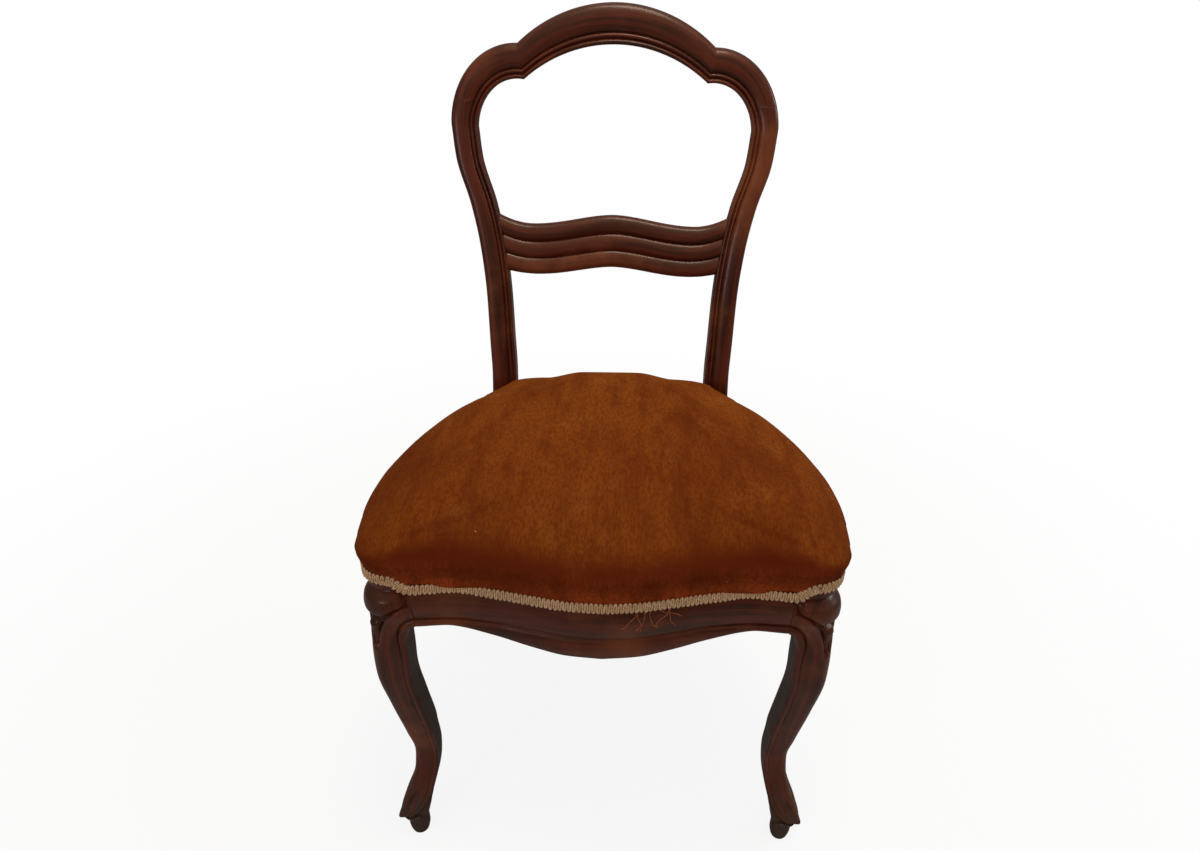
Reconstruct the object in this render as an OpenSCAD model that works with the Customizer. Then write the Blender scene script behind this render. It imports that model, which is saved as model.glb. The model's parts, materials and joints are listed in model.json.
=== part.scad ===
// Balloon back chair with a sprung, stuffed-over seat.
// The seat's middle is near the origin, the front faces -Y, +X is to the right as seen from the front,
// and the feet stand on Z = 0. Every piece is drawn in bench coordinates, where each front leg's
// diagonal runs along x = -y, and is then slid along Y until the whole chair is centred on the origin.

/* [Overall] */
// Height from the floor to the top of the crest rail
total_h = 907; // [880:1:935]
// Height of the gimp's upper edge along the front
gimp_z = 387; // [379:1:395]
// Clearance between pieces that are seated on each other
fit_gap = 0.1; // [0.05:0.05:0.2]
// Clearance between soft pieces and their neighbours
soft_gap = 0.3; // [0.2:0.1:0.6]

/* [Balloon back] */
// Half the width of the balloon at its widest
shoulder_x = 214.5; // [203:1:223]
// Drop from the top to the balloon's widest level
shoulder_drop = 143; // [133:1:153]
// Half the width of the central arch, measured to its notches
arch_x = 127; // [120:1:133]
// Rise of the central arch over its notches
arch_rise = 48; // [42:1:54]
// Depth of the crest rail at its middle
crest_w = 48; // [42:1:54]
// Depth of the crest rail at its notches
notch_w = 43; // [38:1:47]
// Drop from the top to the joints between the crest rail and the stiles
joint_drop = 115; // [108:1:122]
// Width of a stile
stile_w = 34; // [32:0.5:39]
// Thickness of the back's frame
back_t = 24; // [22:1:30]
// Half the width over the stiles at the seat
post_x = 166; // [160:1:172]
// Front face of the stiles at the seat, from the bench origin
post_y = 143; // [136:1:150]
// Rake of the back
back_rake = 14.2; // [11:0.1:17]
// Extra backward sweep at the top of the back
back_sweep = 8; // [3:1:13]
// How far the rear feet stand behind the stiles at the seat
rear_splay = 62; // [45:1:75]

/* [Cross rail] */
// Height of the cross rail's middle, as a share of the way from the back's waist to its top
cross_share = 0.387; // [0.35:0.001:0.42]
// Height of the cross rail's own section
cross_h = 66; // [58:1:72]
// Rise of the cross rail's middle over its low points
cross_wave = 12.5; // [8:0.5:16]
// Thickness of the cross rail
cross_t = 15; // [15:1:21]
// Setback of the cross rail from the stiles' front face
cross_set = 5; // [3:0.5:7]
// Reeds along the cross rail
reeds = 3; // [2:1:4]
// Height of a reed over its grooves
reed_h = 4; // [2.5:0.5:5]

/* [Seat frame] */
// Front of the front rail at its middle, from the bench origin
bow_y = 262; // [256:1:268]
// Front of the front rail at its hollows beside the middle
hollow_y = 239; // [236:1:243]
// Planes of the front legs' outer faces, from the bench origin
leg_e = 245.7; // [240:0.5:250]
// Width of a front leg's head along each rail
head_w = 51.5; // [46:0.5:56]
// Radius of the seat's front corners in plan
corner_r = 32; // [24:1:38]
// Half the width over the side rails at their widest
side_x = 250; // [244:1:256]
// Thickness of the side rails
side_t = 26; // [22:1:30]
// Height of the seat frame's upper edge over the gimp's upper edge
frame_over = 14; // [10:1:18]
// Height of the ledge under the rails that takes the webbing
web_z = 331; // [327:1:335]
// Drop of the front rail's middle below the ledge
apron_drop = 23.5; // [16:1:28]
// Thickness of the rear rail
rear_t = 22; // [18:1:26]

/* [Front legs] */
// Size of a front leg's section below the knee
leg_d = 39; // [35:0.5:42]
// Size of a front leg's section at the ankle
ankle_d = 28; // [22:0.5:30]
// How far the ankle is drawn in behind the knee
ankle_in = 22; // [17:1:27]
// Height of the ankle
ankle_z = 119; // [111:1:127]
// Height of the toe's tip
toe_z = 28; // [24:1:32]
// Radius of the pad under the toe, which narrows towards the floor
pad_r = 12.5; // [9:0.5:15]
// How far the pad is set inwards at the floor
pad_in = 5; // [0:0.5:7]
// How far the pad is set forwards at the floor
pad_out = 9; // [0:0.5:10]
// Radius of the knee's outer curve
knee_r = 62; // [52:1:70]
// Depth of the carved lobes at the knee
lobe_h = 4; // [2:0.5:6]

/* [Cushion] */
// Height of the seat's crown
crown_z = 481.5; // [469:0.5:493]
// Height of the seat's widest level
rim_z = 416; // [410:1:422]
// Overhang of the cushion past the rails at its widest level
overhang = 8; // [5:0.5:11]
// Thickness of the top cover
cover_t = 1.6; // [1.2:0.1:2.2]
// Thickness of the second stuffing
second_t = 12; // [9:1:16]
// Thickness of the first stuffing
first_t = 24; // [18:1:30]
// Width of the gimp
gimp_w = 13; // [11:0.5:15]
// Thickness of the gimp
gimp_t = 2.2; // [1.6:0.1:3]

/* [Springing] */
// Width of the webbing
web_w = 50; // [44:1:54]
// Thickness of the webbing
web_t = 1.6; // [1.2:0.1:2]
// Radius of a spring's end coils
spring_r = 34; // [28:1:38]
// Radius of a spring's waist
waist_r = 22; // [17:1:26]
// Diameter of the spring wire
wire_d = 3.6; // [3:0.1:4.4]
// Turns of a spring
spring_turns = 5; // [4:1:6]
// Diameter of the lashing twine
twine_d = 2.4; // [1.8:0.1:3]

/* [Fixings] */
// Diameter of the dowels
dowel_d = 9; // [7:0.5:10]
// Length of the dowels
dowel_l = 44; // [36:1:50]
// Diameter of the corner block screws
screw_d = 4; // [3:0.5:5]
// Length of the corner block screws
screw_l = 36; // [30:1:42]
// Height of a corner block
block_h = 34; // [26:1:40]
// Diameter of a tack's shank
tack_d = 1.4; // [1:0.1:1.8]
// Diameter of a tack's head
tack_head = 4.5; // [3.5:0.5:6]

/* [Hidden] */
wood = "#4a2418";
frame_wood = "#8a6a42";
velvet = "#7a3410";

// Interpolation through a list of [position, value] with no overshoot
function slope(p, i) = (p[i + 1][1] - p[i][1]) / (p[i + 1][0] - p[i][0]);
function tangent(p, i) =
    i == 0 ? slope(p, 0) :
    i == len(p) - 1 ? slope(p, i - 1) :
    slope(p, i - 1) * slope(p, i) <= 0 ? 0 :
    2 * slope(p, i - 1) * slope(p, i) / (slope(p, i - 1) + slope(p, i));
function span(p, t, i = 0) = i >= len(p) - 2 || t < p[i + 1][0] ? i : span(p, t, i + 1);
function curve(p, t) =
    let (i = span(p, t), h = p[i + 1][0] - p[i][0], u = (t - p[i][0]) / h)
    p[i][1] * (2 * u * u * u - 3 * u * u + 1) + tangent(p, i) * h * (u * u * u - 2 * u * u + u)
    + p[i + 1][1] * (3 * u * u - 2 * u * u * u) + tangent(p, i + 1) * h * (u * u * u - u * u);
function clamp(v, low, high) = min(max(v, low), high);
function ease(a, b, v) = let (u = clamp((v - a) / (b - a), 0, 1)) u * u * (3 - 2 * u);
function mix(a, b, f) = a + (b - a) * f;
function unit(v) = v / norm(v);

// Closed solid through rings of equal length. Each ring runs along a front chain of f points and comes
// back along a shorter back chain, and the two ends are zipped between those chains.
function zip(f, b) = [for (i = [0:len(f) - 2]) let (j = floor(i * (len(b) - 1) / (len(f) - 1)),
    k = floor((i + 1) * (len(b) - 1) / (len(f) - 1)))
    each concat([[f[i], f[i + 1], b[j]]], k > j ? [[b[j], f[i + 1], b[k]]] : [])];
function turned(faces) = [for (t = faces) [t[2], t[1], t[0]]];
module loft(rings, f, closed = false) {
    n = len(rings[0]);
    m = len(rings);
    front = [for (i = [0:f - 1]) i];
    back = [for (i = [n - 1:-1:f]) i];
    last = (m - 1) * n;
    ends = closed ? [] : concat(zip(front, back), turned(zip([for (i = front) i + last],
        [for (i = back) i + last])));
    sides = [for (j = [0:(closed ? m - 1 : m - 2)]) for (i = [0:n - 1])
        let (a = j * n + i, b = j * n + (i + 1) % n, c = ((j + 1) % m) * n + (i + 1) % n,
            d = ((j + 1) % m) * n + i) each [[a, d, b], [b, d, c]]];
    polyhedron(points = [for (r = rings) each r], faces = concat(ends, sides), convexity = 8);
}

// The back: front surface, outlines and moulding
shoulder_z = total_h - shoulder_drop;
joint_z = total_h - joint_drop;
notch_z = total_h - arch_rise;
waist_z = gimp_z + 52;
cross_z = waist_z + cross_share * (total_h - waist_z);
rake = tan(back_rake);
function back_y(z) = post_y + rake * (z - waist_z) + back_sweep * pow((z - waist_z) / (total_h - waist_z), 2);
arch_r = (arch_x * arch_x + arch_rise * arch_rise) / (2 * arch_rise);
inner_notch = [arch_x - 8, notch_z - notch_w + 0.5];
inner_rise = total_h - crest_w - inner_notch[1];
inner_r = (inner_notch[0] * inner_notch[0] + inner_rise * inner_rise) / (2 * inner_rise);
lobe_c = [arch_x + 4, shoulder_z];
lobe_a = shoulder_x - lobe_c[0];
lobe_b = notch_z - 1 - shoulder_z;
inner_c = [arch_x, shoulder_z - 7];
inner_a = shoulder_x - stile_w - 0.5 - inner_c[0];
inner_b = inner_notch[1] + 0.5 - inner_c[1];
outer_line = [[0, post_x + 5], [web_z, post_x], [waist_z, post_x],
    [mix(waist_z, cross_z, 0.28), post_x + 2.5], [mix(waist_z, cross_z, 0.635), post_x + 6],
    [mix(waist_z, cross_z, 0.967), mix(post_x, shoulder_x, 0.277)],
    [mix(cross_z, shoulder_z, 0.312), mix(post_x, shoulder_x, 0.51)],
    [mix(cross_z, shoulder_z, 0.708), shoulder_x - 5.5], [shoulder_z, shoulder_x]];
function outer_x(z) = z >= shoulder_z
    ? lobe_c[0] + lobe_a * sqrt(max(0, 1 - pow((z - shoulder_z) / lobe_b, 2)))
    : curve(outer_line, z);
function inner_x(z) = z >= inner_c[1]
    ? inner_c[0] + inner_a * sqrt(max(0, 1 - pow((z - inner_c[1]) / inner_b, 2)))
    : curve(outer_line, z) - mix(stile_w - 5, stile_w, ease(0, web_z, z));
// Moulded front of the stiles and the crest rail: place across the width, depth below the front face
moulding = [[0, 9], [0.04, 4], [0.15, 0.8], [0.33, 0], [0.51, 0.9], [0.65, 3.4], [0.71, 4.8],
    [0.77, 4.3], [0.85, 2.6], [0.94, 3], [1, 6]];
plain_face = [[0, 2.5], [0.04, 0.8], [0.15, 0], [0.33, 0], [0.51, 0], [0.65, 0], [0.71, 0],
    [0.77, 0], [0.85, 0], [0.94, 0.8], [1, 2.5]];
back_face = [[1, 5], [0.9, 0], [0.1, 0], [0, 5]];
function frame_ring(o, i, y_at, t, m) = concat(
    [for (k = [0:len(moulding) - 1]) let (f = moulding[k][0], p = mix(o, i, f))
        [p[0], y_at(p[1]) + mix(plain_face[k][1], moulding[k][1], m), p[1]]],
    [for (b = back_face) let (p = mix(o, i, b[0])) [p[0], y_at(p[1]) + t - b[1], p[1]]]);

// Rear leg below the seat
rear_line = [[0, post_y + rear_splay], [total_h * 0.13, post_y + rear_splay * 0.42],
    [total_h * 0.26, post_y + rear_splay * 0.06], [web_z, post_y - 4], [waist_z, back_y(waist_z)]];
function stile_y(z) = z < waist_z ? curve(rear_line, z) : back_y(z);
function stile_t(z) = mix(back_t - 2, back_t + 5, ease(0, web_z, z)) - 5 * ease(waist_z, cross_z, z);
stile_levels = concat([joint_z, shoulder_z + 14, shoulder_z, shoulder_z - 7],
    [for (f = [0.19, 0.36, 0.54, 0.71, 0.8, 0.88, 0.96]) mix(shoulder_z, cross_z, f)],
    [for (f = [0.04, 0.18, 0.36, 0.57, 0.79, 1]) mix(cross_z, waist_z, f)],
    [gimp_z + 20, gimp_z - 20], [for (f = [1, 0.86, 0.69, 0.52, 0.35, 0.19, 0]) web_z * f]);
module stile_body() {
    loft([for (z = stile_levels) frame_ring([outer_x(z), z], [inner_x(z), z],
        function (h) stile_y(h), stile_t(z), ease(gimp_z + 20, waist_z + 8, z))], len(moulding));
}

// Crest rail, half of its stations from the top to the joint, mirrored for the other half
arch_steps = [0, 0.2, 0.4, 0.6, 0.76, 0.9, 1];
lobe_steps = [0.12, 0.27, 0.42, 0.57, 0.72, 0.87, 1];
arch_turn = asin(arch_x / arch_r);
inner_turn = asin(inner_notch[0] / inner_r);
lobe_end = asin((joint_z - shoulder_z) / lobe_b);
inner_end = asin((joint_z - inner_c[1]) / inner_b);
crest_half = concat(
    [for (s = arch_steps) [[arch_r * sin(s * arch_turn), total_h - arch_r * (1 - cos(s * arch_turn))],
        [inner_r * sin(s * inner_turn), total_h - crest_w - inner_r * (1 - cos(s * inner_turn))]]],
    [for (s = lobe_steps) let (a = mix(92, lobe_end, s), b = mix(98, inner_end, s))
        [[lobe_c[0] + lobe_a * cos(a), lobe_c[1] + lobe_b * sin(a)],
            [inner_c[0] + inner_a * cos(b), inner_c[1] + inner_b * sin(b)]]]);
crest_stations = concat([for (k = [len(crest_half) - 1:-1:1])
    [for (p = crest_half[k]) [-p[0], p[1]]]], crest_half);
crest_rings = [for (s = crest_stations) frame_ring(s[0], s[1], function (h) back_y(h), back_t, 1)];

// Cross rail between the stiles: height along the rail, reeds down its face
cross_low = 105;
function cross_top(x) = let (a = abs(x)) cross_z + cross_h / 2
    - (a < cross_low ? cross_wave * pow(sin(90 * a / cross_low), 1.7)
    : cross_wave - cross_wave * 1.2 * pow((a - cross_low) / 46, 2));
function cross_bottom(x) = let (a = abs(x)) cross_z - cross_h / 2
    - (a < cross_low ? cross_wave * 0.84 * pow(sin(90 * a / cross_low), 1.7)
    : cross_wave * 0.84 - cross_wave * 0.45 * pow((a - cross_low) / 46, 2));
reed_steps = 4;
cross_face = concat([[0, reed_h + 1]], [for (k = [0:reeds * reed_steps]) let (f = k / (reeds * reed_steps),
    g = k % reed_steps / reed_steps) [0.02 + 0.96 * f, reed_h * (1 - pow(sin(180 * g), 0.7))]],
    [[1, reed_h + 1]]);
cross_stations = [-1, -0.96, -0.9, -0.82, -0.7, -0.56, -0.42, -0.28, -0.14, 0, 0.14, 0.28, 0.42, 0.56,
    0.7, 0.82, 0.9, 0.96, 1];
function cross_x(s, z) = s * (inner_x(z) - 1.5 * soft_gap);
function cross_point(s, f, depth) = let (x0 = s * inner_x(cross_z),
    z = mix(cross_top(x0), cross_bottom(x0), f))
    [cross_x(s, z), back_y(z) + cross_set + 3 * (1 - s * s) + depth, z];
module cross_body() {
    loft([for (s = cross_stations) concat([for (p = cross_face) cross_point(s, p[0], p[1])],
        [for (f = [1, 0.5, 0]) cross_point(s, f, cross_t)])], len(cross_face));
}

// Seat frame: plan line of the front, corner and side at the gimp
frame_z = gimp_z + frame_over;
head_x = leg_e - head_w;
front_line = [[0, -bow_y], [32, -bow_y + 2.5], [77, mix(-bow_y, -hollow_y, 0.52)],
    [111, mix(-bow_y, -hollow_y, 0.85)], [150, -hollow_y], [head_x, -leg_e + 1.5],
    [leg_e - corner_r, -leg_e]];
function front_y(x) = curve(front_line, abs(x));
side_line = [[-leg_e + corner_r, leg_e], [-head_x, leg_e + 1.5], [-150, side_x], [-100, side_x - 1.5],
    [-30, side_x - 14], [30, side_x - 34], [75, side_x - 55], [post_y - 8, post_x + 3],
    [post_y + 20, post_x - 4]];
function side_at(y) = curve(side_line, y);
function side_normal(y) = let (d = (side_at(y + 1) - side_at(y - 1)) / 2) unit([1, -d]);
// The gimp rises towards the ends of the front rail and again over the knees
front_rise = 4;
knee_rise = 13;
gimp_bottom = gimp_z - gimp_w;
corner_c = leg_e - corner_r;
function lift(x, y) = front_rise * ease(105, 150, abs(x)) * ease(120, 180, -y) +
    knee_rise * ease(head_x + 2, corner_c, abs(x)) * ease(head_x + 2, corner_c, -y);

// Moulded face of a seat rail from the gimp's lower edge down: share of the height above the groove
// or below it, then how far the face stands in front of the plan line
rail_upper = [[0, -3.8], [0.07, -1], [0.22, 1.2], [0.48, 1.8], [0.75, 0.6], [0.93, -1.6], [1, -3.4]];
rail_lower = [[0.12, -3], [0.38, -0.4], [0.68, -0.6], [0.92, -2.6], [1, -4.5]];
function rail_ring(place, top, groove, bottom, ledge, back) = concat(
    [place(-3.8, frame_z)],
    [for (p = rail_upper) place(p[1], mix(top, groove, p[0]))],
    [for (p = rail_lower) place(p[1], mix(groove, bottom, p[0]))],
    [place(-9, bottom), place(-10, ledge), place(back, ledge), place(back, frame_z)]);
rail_front_count = 1 + len(rail_upper) + len(rail_lower);
front_bottom = [[0, web_z - apron_drop], [42, web_z - apron_drop + 1.2], [60, web_z - apron_drop + 3],
    [103, web_z - 13.5], [124, web_z - 8.5], [144, web_z - 3.5], [164, web_z + 0.3], [head_x, web_z + 1]];
function rail_bottom(x) = curve(front_bottom, abs(x));
function rail_groove(x) = web_z + 4 + 5.5 * pow(abs(x) / 160, 2);
rail_back_y = -hollow_y + 26;
front_stations = [for (k = [-15:15]) (head_x - fit_gap) * sin(90 * k / 15) * mix(0.86, 1, abs(k) / 15)];

// Side rail bottom, from the leg back to the stile
side_bottom = [[-head_x, web_z + 1], [-140, web_z - 3], [-40, web_z - 8], [60, web_z - 6],
    [post_y + 20, web_z - 2]];
function side_station(share, z) = mix(-head_x + fit_gap, stile_y(z) - 1.5 * soft_gap, share);
function side_place(share) = function (d, z) let (y = side_station(share, z), n = side_normal(y))
    [side_at(y) + n[0] * d, y, z];

// Front leg, drawn for the right side: its outer planes, section, arris and knee by height
knee_z = gimp_bottom - knee_r - 12;
leg_line = [[0, leg_e - 6], [toe_z - 5, leg_e - 5], [toe_z, leg_e - 0.5], [toe_z + 17, leg_e - 5.5],
    [mix(toe_z, ankle_z, 0.45), leg_e - 0.7 * ankle_in], [mix(toe_z, ankle_z, 0.74), leg_e - ankle_in],
    [ankle_z, leg_e - ankle_in - 1.5], [ankle_z + 34, leg_e - 0.84 * ankle_in],
    [ankle_z + 92, leg_e - 0.4 * ankle_in], [ankle_z + 146, leg_e - 0.06 * ankle_in],
    [gimp_bottom - 77, leg_e - 0.5], [gimp_bottom - 50, leg_e - 0.5], [gimp_bottom - 34, leg_e + 1],
    [gimp_bottom - 20, leg_e + 5], [gimp_bottom - 8, leg_e + 4.5], [gimp_bottom + 2, leg_e + 1],
    [frame_z, leg_e + 1]];
size_line = [[0, ankle_d - 2], [toe_z - 5, ankle_d + 1], [toe_z, ankle_d + 7],
    [toe_z + 9, ankle_d + 6.5], [toe_z + 40, ankle_d + 1.4],
    [ankle_z, ankle_d], [ankle_z + 48, mix(ankle_d, leg_d, 0.42)],
    [ankle_z + 113, mix(ankle_d, leg_d, 0.7)], [gimp_bottom - 81, leg_d], [frame_z, leg_d]];
arris_line = [[0, 12], [toe_z - 5, 12], [toe_z, 4], [toe_z + 30, 6], [ankle_z, 8],
    [gimp_bottom - 115, 10], [gimp_bottom - 60, 17], [gimp_bottom - 30, corner_r - 5],
    [gimp_bottom, corner_r], [frame_z, corner_r]];
// Setback of the carved knee: small lobe, notch, large lobe, notch and fillet
lobe_line = [[knee_z - 2, 0], [gimp_bottom - 55, 0], [gimp_bottom - 42, -0.45],
    [gimp_bottom - 36, 0.1], [gimp_bottom - 31, 1], [gimp_bottom - 27, 0.5], [gimp_bottom - 20, 0.1],
    [gimp_bottom - 13, 0], [gimp_bottom - 6, 0.12], [gimp_bottom, 0.5], [gimp_bottom + 4, 1],
    [gimp_bottom + 8, 0.2], [frame_z, 0.2]];
// How far the carved knee's face reaches from the rail joint to its scrolled edge
panel_w = 42;
arch_h = 26;
arch_z = web_z + 1 - arch_h;
function leg_in(z) = let (low = curve(leg_line, z) - curve(size_line, z))
    z >= web_z + 1 ? head_x :
    z <= arch_z ? low :
    mix(head_x, low, sqrt(max(0, 1 - pow((z - arch_z) / arch_h, 2))));
// The pad under the toe is rounded in plan, more so towards the floor
function pad_radius(z) = z < toe_z ? pad_r - 4 * pow(max(0, 1 - z / 14), 2) : 100;
function leg_ring(z) =
    let (e = curve(leg_line, z), r = curve(arris_line, z), xi = leg_in(z), flat = e - r - xi,
        total = flat + r * PI / 4, above = z > knee_z,
        rise = clamp((z - knee_z) / knee_r, 0, 1),
        edge = above ? max(11, min(total - 2, head_x + panel_w * sqrt(max(0, 1 - rise * rise)) - xi))
            : total * 0.86,
        recess = above ? 3.2 * ease(0, 0.25, rise) : 0,
        lip = above ? ease(0, 0.2, rise) : 0,
        lobes = lobe_h * curve(lobe_line, max(z, knee_z - 2)) * (above ? 1 : 0),
        toe = z < toe_z ? 0 : 1 - ease(toe_z, toe_z + 42, z),
        pad = 3 * toe,
        start = (total - 10) * pow(toe, 5),
        bead = z < toe_z ? 0 : 1 - ease(arch_z - 6, web_z + 1, z),
        steps = [[0.4, pad + 3.5 * bead], [start + 1.2, 1.6 * bead], [start + 3.2, 0.8 * bead],
            [start + 6.4, 3.4 * bead], [start + 9, 1.2 * bead],
            [mix(start + 9, edge, 0.35), 0.2], [mix(start + 9, edge, 0.7), 0],
            [mix(start + 9, edge, 0.93), 0.8 * lip], [max(edge, start + 9.4), 2.6 * lip],
            [max(edge, start + 9.4) + 0.4, 2.6 * lip + recess],
            [mix(max(edge, start + 9.4), total, 0.55), recess + lobes], [total, recess + lobes]],
        half = concat([[xi, -e + pad + 8]], [for (s = steps)
            let (d = min(s[0], total), c = e - r, a = max(0, d - flat) / r * 180 / PI,
                x = d < flat ? xi + d : c + r * sin(a), y = -c - r * cos(a),
                in = max(s[1], 4.8 * ease(-1, 1, z - gimp_bottom - lift(x, y))))
            [x - in * sin(a), y + in * cos(a)]]),
        ring = concat(half, [for (k = [len(half) - 2:-1:0]) [-half[k][1], -half[k][0]]], [[xi, -xi]]),
        m = (e + xi) / 2, low = z < toe_z ? 1 - 0.6 * z / toe_z : 0)
    [for (p = ring) let (v = [p[0] - m, p[1] + m], cut = min(1, pad_radius(z) / norm(v)))
        [m - pad_in * low + v[0] * cut, -m - pad_out * low + v[1] * cut, z]];
leg_levels = [0, 4, 10, toe_z - 5, toe_z, toe_z + 5, toe_z + 11, toe_z + 18, toe_z + 27, toe_z + 42, 78, 96,
    ankle_z, 130, 150, 172, 196, 220, 245, 270, arch_z - 6, knee_z, arch_z, arch_z + 9, arch_z + 16,
    arch_z + 21, arch_z + 24.5, web_z + 1, gimp_bottom - 42, gimp_bottom - 36, gimp_bottom - 31,
    gimp_bottom - 27, gimp_bottom - 20, gimp_bottom - 13, gimp_bottom - 6, gimp_bottom,
    gimp_bottom + 4, gimp_bottom + 8, gimp_bottom + 12, gimp_bottom + 15.5, gimp_bottom + 18.5, frame_z];
function sorted(v) = len(v) < 2 ? v : let (p = v[floor(len(v) / 2)])
    concat(sorted([for (a = v) if (a < p) a]), [p], sorted([for (a = v) if (a > p) a]));
leg_rings = [for (z = sorted(leg_levels)) leg_ring(z)];

// Dowels and their holes
module peg(at, turn, d, l) {
    translate(at)
        rotate(turn)
            cylinder(d = d, h = l, center = true, $fn = 24);
}
module both_sides() {
    children();
    mirror([1, 0, 0])
        children();
}
back_tilt = atan(rake + 2 * back_sweep * (joint_z - waist_z) / pow(total_h - waist_z, 2));
joint_x = (outer_x(joint_z) + inner_x(joint_z)) / 2;
joint_y = back_y(joint_z) + back_t * 0.55;
dowel_zs = [web_z + 17, frame_z - 23];
module crest_dowel(d) {
    peg([joint_x, joint_y, joint_z], [-back_tilt, 0, 0], d, dowel_l - 4);
}
module cross_dowel(d) {
    for (s = [-1, 1]) {
        z = cross_z + s * cross_h * 0.24;
        peg([inner_x(z), back_y(z) + cross_set + cross_t * 0.58, z], [0, 90, 0], d - 1, dowel_l - 12);
    }
}
module front_dowel(d) {
    for (z = dowel_zs)
        peg([head_x, -leg_e + 19, z], [0, 90, 0], d, dowel_l);
}
module side_front_dowel(d) {
    for (z = dowel_zs)
        peg([leg_e - 15, -head_x, z], [90, 0, 0], d, dowel_l);
}
module side_rear_dowel(d) {
    for (z = dowel_zs)
        peg([post_x - 14, stile_y(z), z], [90, 0, 0], d, dowel_l - 8);
}
module rear_dowel(d) {
    for (z = [dowel_zs[0] + dowel_d, dowel_zs[1] - dowel_d])
        peg([inner_x(z), rear_mid, z], [0, 90, 0], d - 1, dowel_l - 12);
}
rear_mid = post_y + 15;

// Corner blocks: three-cornered braces behind the legs
block_z = frame_z - 12 - block_h;
function side_inner(y) = side_at(y) - side_t / side_normal(y)[0];
front_reach = 52;
rear_reach = 44;
front_block = [[head_x - 30, rail_back_y + fit_gap], [head_x - fit_gap, rail_back_y + fit_gap],
    [head_x - fit_gap, -head_x + fit_gap], [side_inner(-head_x + 1) - fit_gap - 0.4, -head_x + fit_gap],
    [side_inner(-head_x + front_reach) - fit_gap - 0.4, -head_x + front_reach]];
rear_front = rear_mid - rear_t / 2;
rear_block = [[inner_x(frame_z) - 34, rear_front - fit_gap], [inner_x(web_z) - 1, rear_front - fit_gap],
    [inner_x(web_z) - 1, post_y - 8], [side_inner(post_y - 12) - fit_gap - 0.4, post_y - 12],
    [side_inner(post_y - rear_reach) - fit_gap - 0.4, post_y - rear_reach]];
module block(outline) {
    translate([0, 0, block_z])
        linear_extrude(block_h)
            polygon(outline);
}
// Screws through the corner blocks into the rails
module screw(at, turn, hole = 0) {
    translate(at)
        rotate(turn) {
            cylinder(d = screw_d + hole, h = screw_l, $fn = 20);
            cylinder(d = screw_d * 2 + hole, h = 3, $fn = 20);
        }
}
// Each starts just outside the block's slope, a share of the block's reach from its end
function slope_x(b, y) = b[0][0] + (b[4][0] - b[0][0]) * (y - b[0][1]) / (b[4][1] - b[0][1]) - 1;
function slope_y(b, x) = b[0][1] + (b[4][1] - b[0][1]) * (x - b[0][0]) / (b[4][0] - b[0][0]);
module front_screws(hole = 0) {
    x = head_x - 14;
    y = -head_x + front_reach * 0.58;
    screw([x, slope_y(front_block, x) + 1, block_z + block_h * 0.3], [90, 0, 0], hole);
    screw([slope_x(front_block, y), y, block_z + block_h * 0.7], [0, 90, 0], hole);
}
module rear_screws(hole = 0) {
    x = inner_x(web_z) - 14;
    y = post_y - rear_reach * 0.64;
    screw([x, slope_y(rear_block, x) - 1, block_z + block_h * 0.75], [-90, 0, 0], hole);
    screw([slope_x(rear_block, y), y, block_z + block_h * 0.7], [0, 90, 0], hole);
}

// Plan outline of the seat, right half from the middle of the front to the middle of the back
rear_edge = rear_mid + rear_t / 2 + 3.5;
half_plan = concat(
    [for (x = [0, 20, 42, 62, 82, 103, 124, 145, 166, head_x, head_x + 20]) [x, front_y(x), 0, -1]],
    [for (a = [0, 30, 60, 90])
        [corner_c + corner_r * sin(a), -corner_c - corner_r * cos(a), sin(a), -cos(a)]],
    [for (y = [-200, -160, -110, -60, -15, 25, 60, 92, 118, post_y - 10])
        let (n = side_normal(y)) [side_at(y), y, n[0], n[1]]],
    [[post_x - 8, rear_edge - 4, 0.5, 0.86], [post_x - 40, rear_edge, 0, 1], [62, rear_edge, 0, 1],
        [0, rear_edge, 0, 1]]);
plan = concat(half_plan, [for (k = [len(half_plan) - 2:-1:1])
    let (p = half_plan[k]) [-p[0], p[1], -p[2], p[3]]]);
// How far the cushion's front corners are drawn in, as cloth pleated round a corner is, and how far its
// sides swell behind them
corner_tuck = 5;
side_swell = 3;
function tuck(p) = corner_tuck * ease(180, 232, min(abs(p[0]), -p[1])) * (1 + 2 * abs(p[2] * p[3]));
function swell(p) = side_swell * ease(-head_x, -120, p[1]) * abs(p[2]);
function ring_at(out, z, thin = 1, climb = 0, tucked = 0) = [for (k = [0:thin:len(plan) - 1])
    let (p = plan[k], o = out - tucked * (tuck(p) - swell(p)))
    [p[0] + p[2] * o, p[1] + p[3] * o, z + climb * lift(p[0], p[1])]];
crown_c = [0, -17];
// How much lower the rim is at the rear than at the front, and how full the dome is at its edge, less
// beside the stiles
rim_fall = 5.8;
function edge_power(p) = 0.67 + 0.4 * ease(50, 130, abs(p[0])) * ease(60, rear_edge, p[1]);
function dome(out, rim, crown, shares, thin = 1) = [for (s = shares) [for (p = ring_at(out, 0, thin, 0, 1))
    let (base = rim - rim_fall * (p[1] + 260) / 400)
    [crown_c[0] + s * (p[0] - crown_c[0]), crown_c[1] + s * (p[1] - crown_c[1]),
        base + (crown - base) * pow(1 - pow(s, 2.42), edge_power(p))]]];
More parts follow.
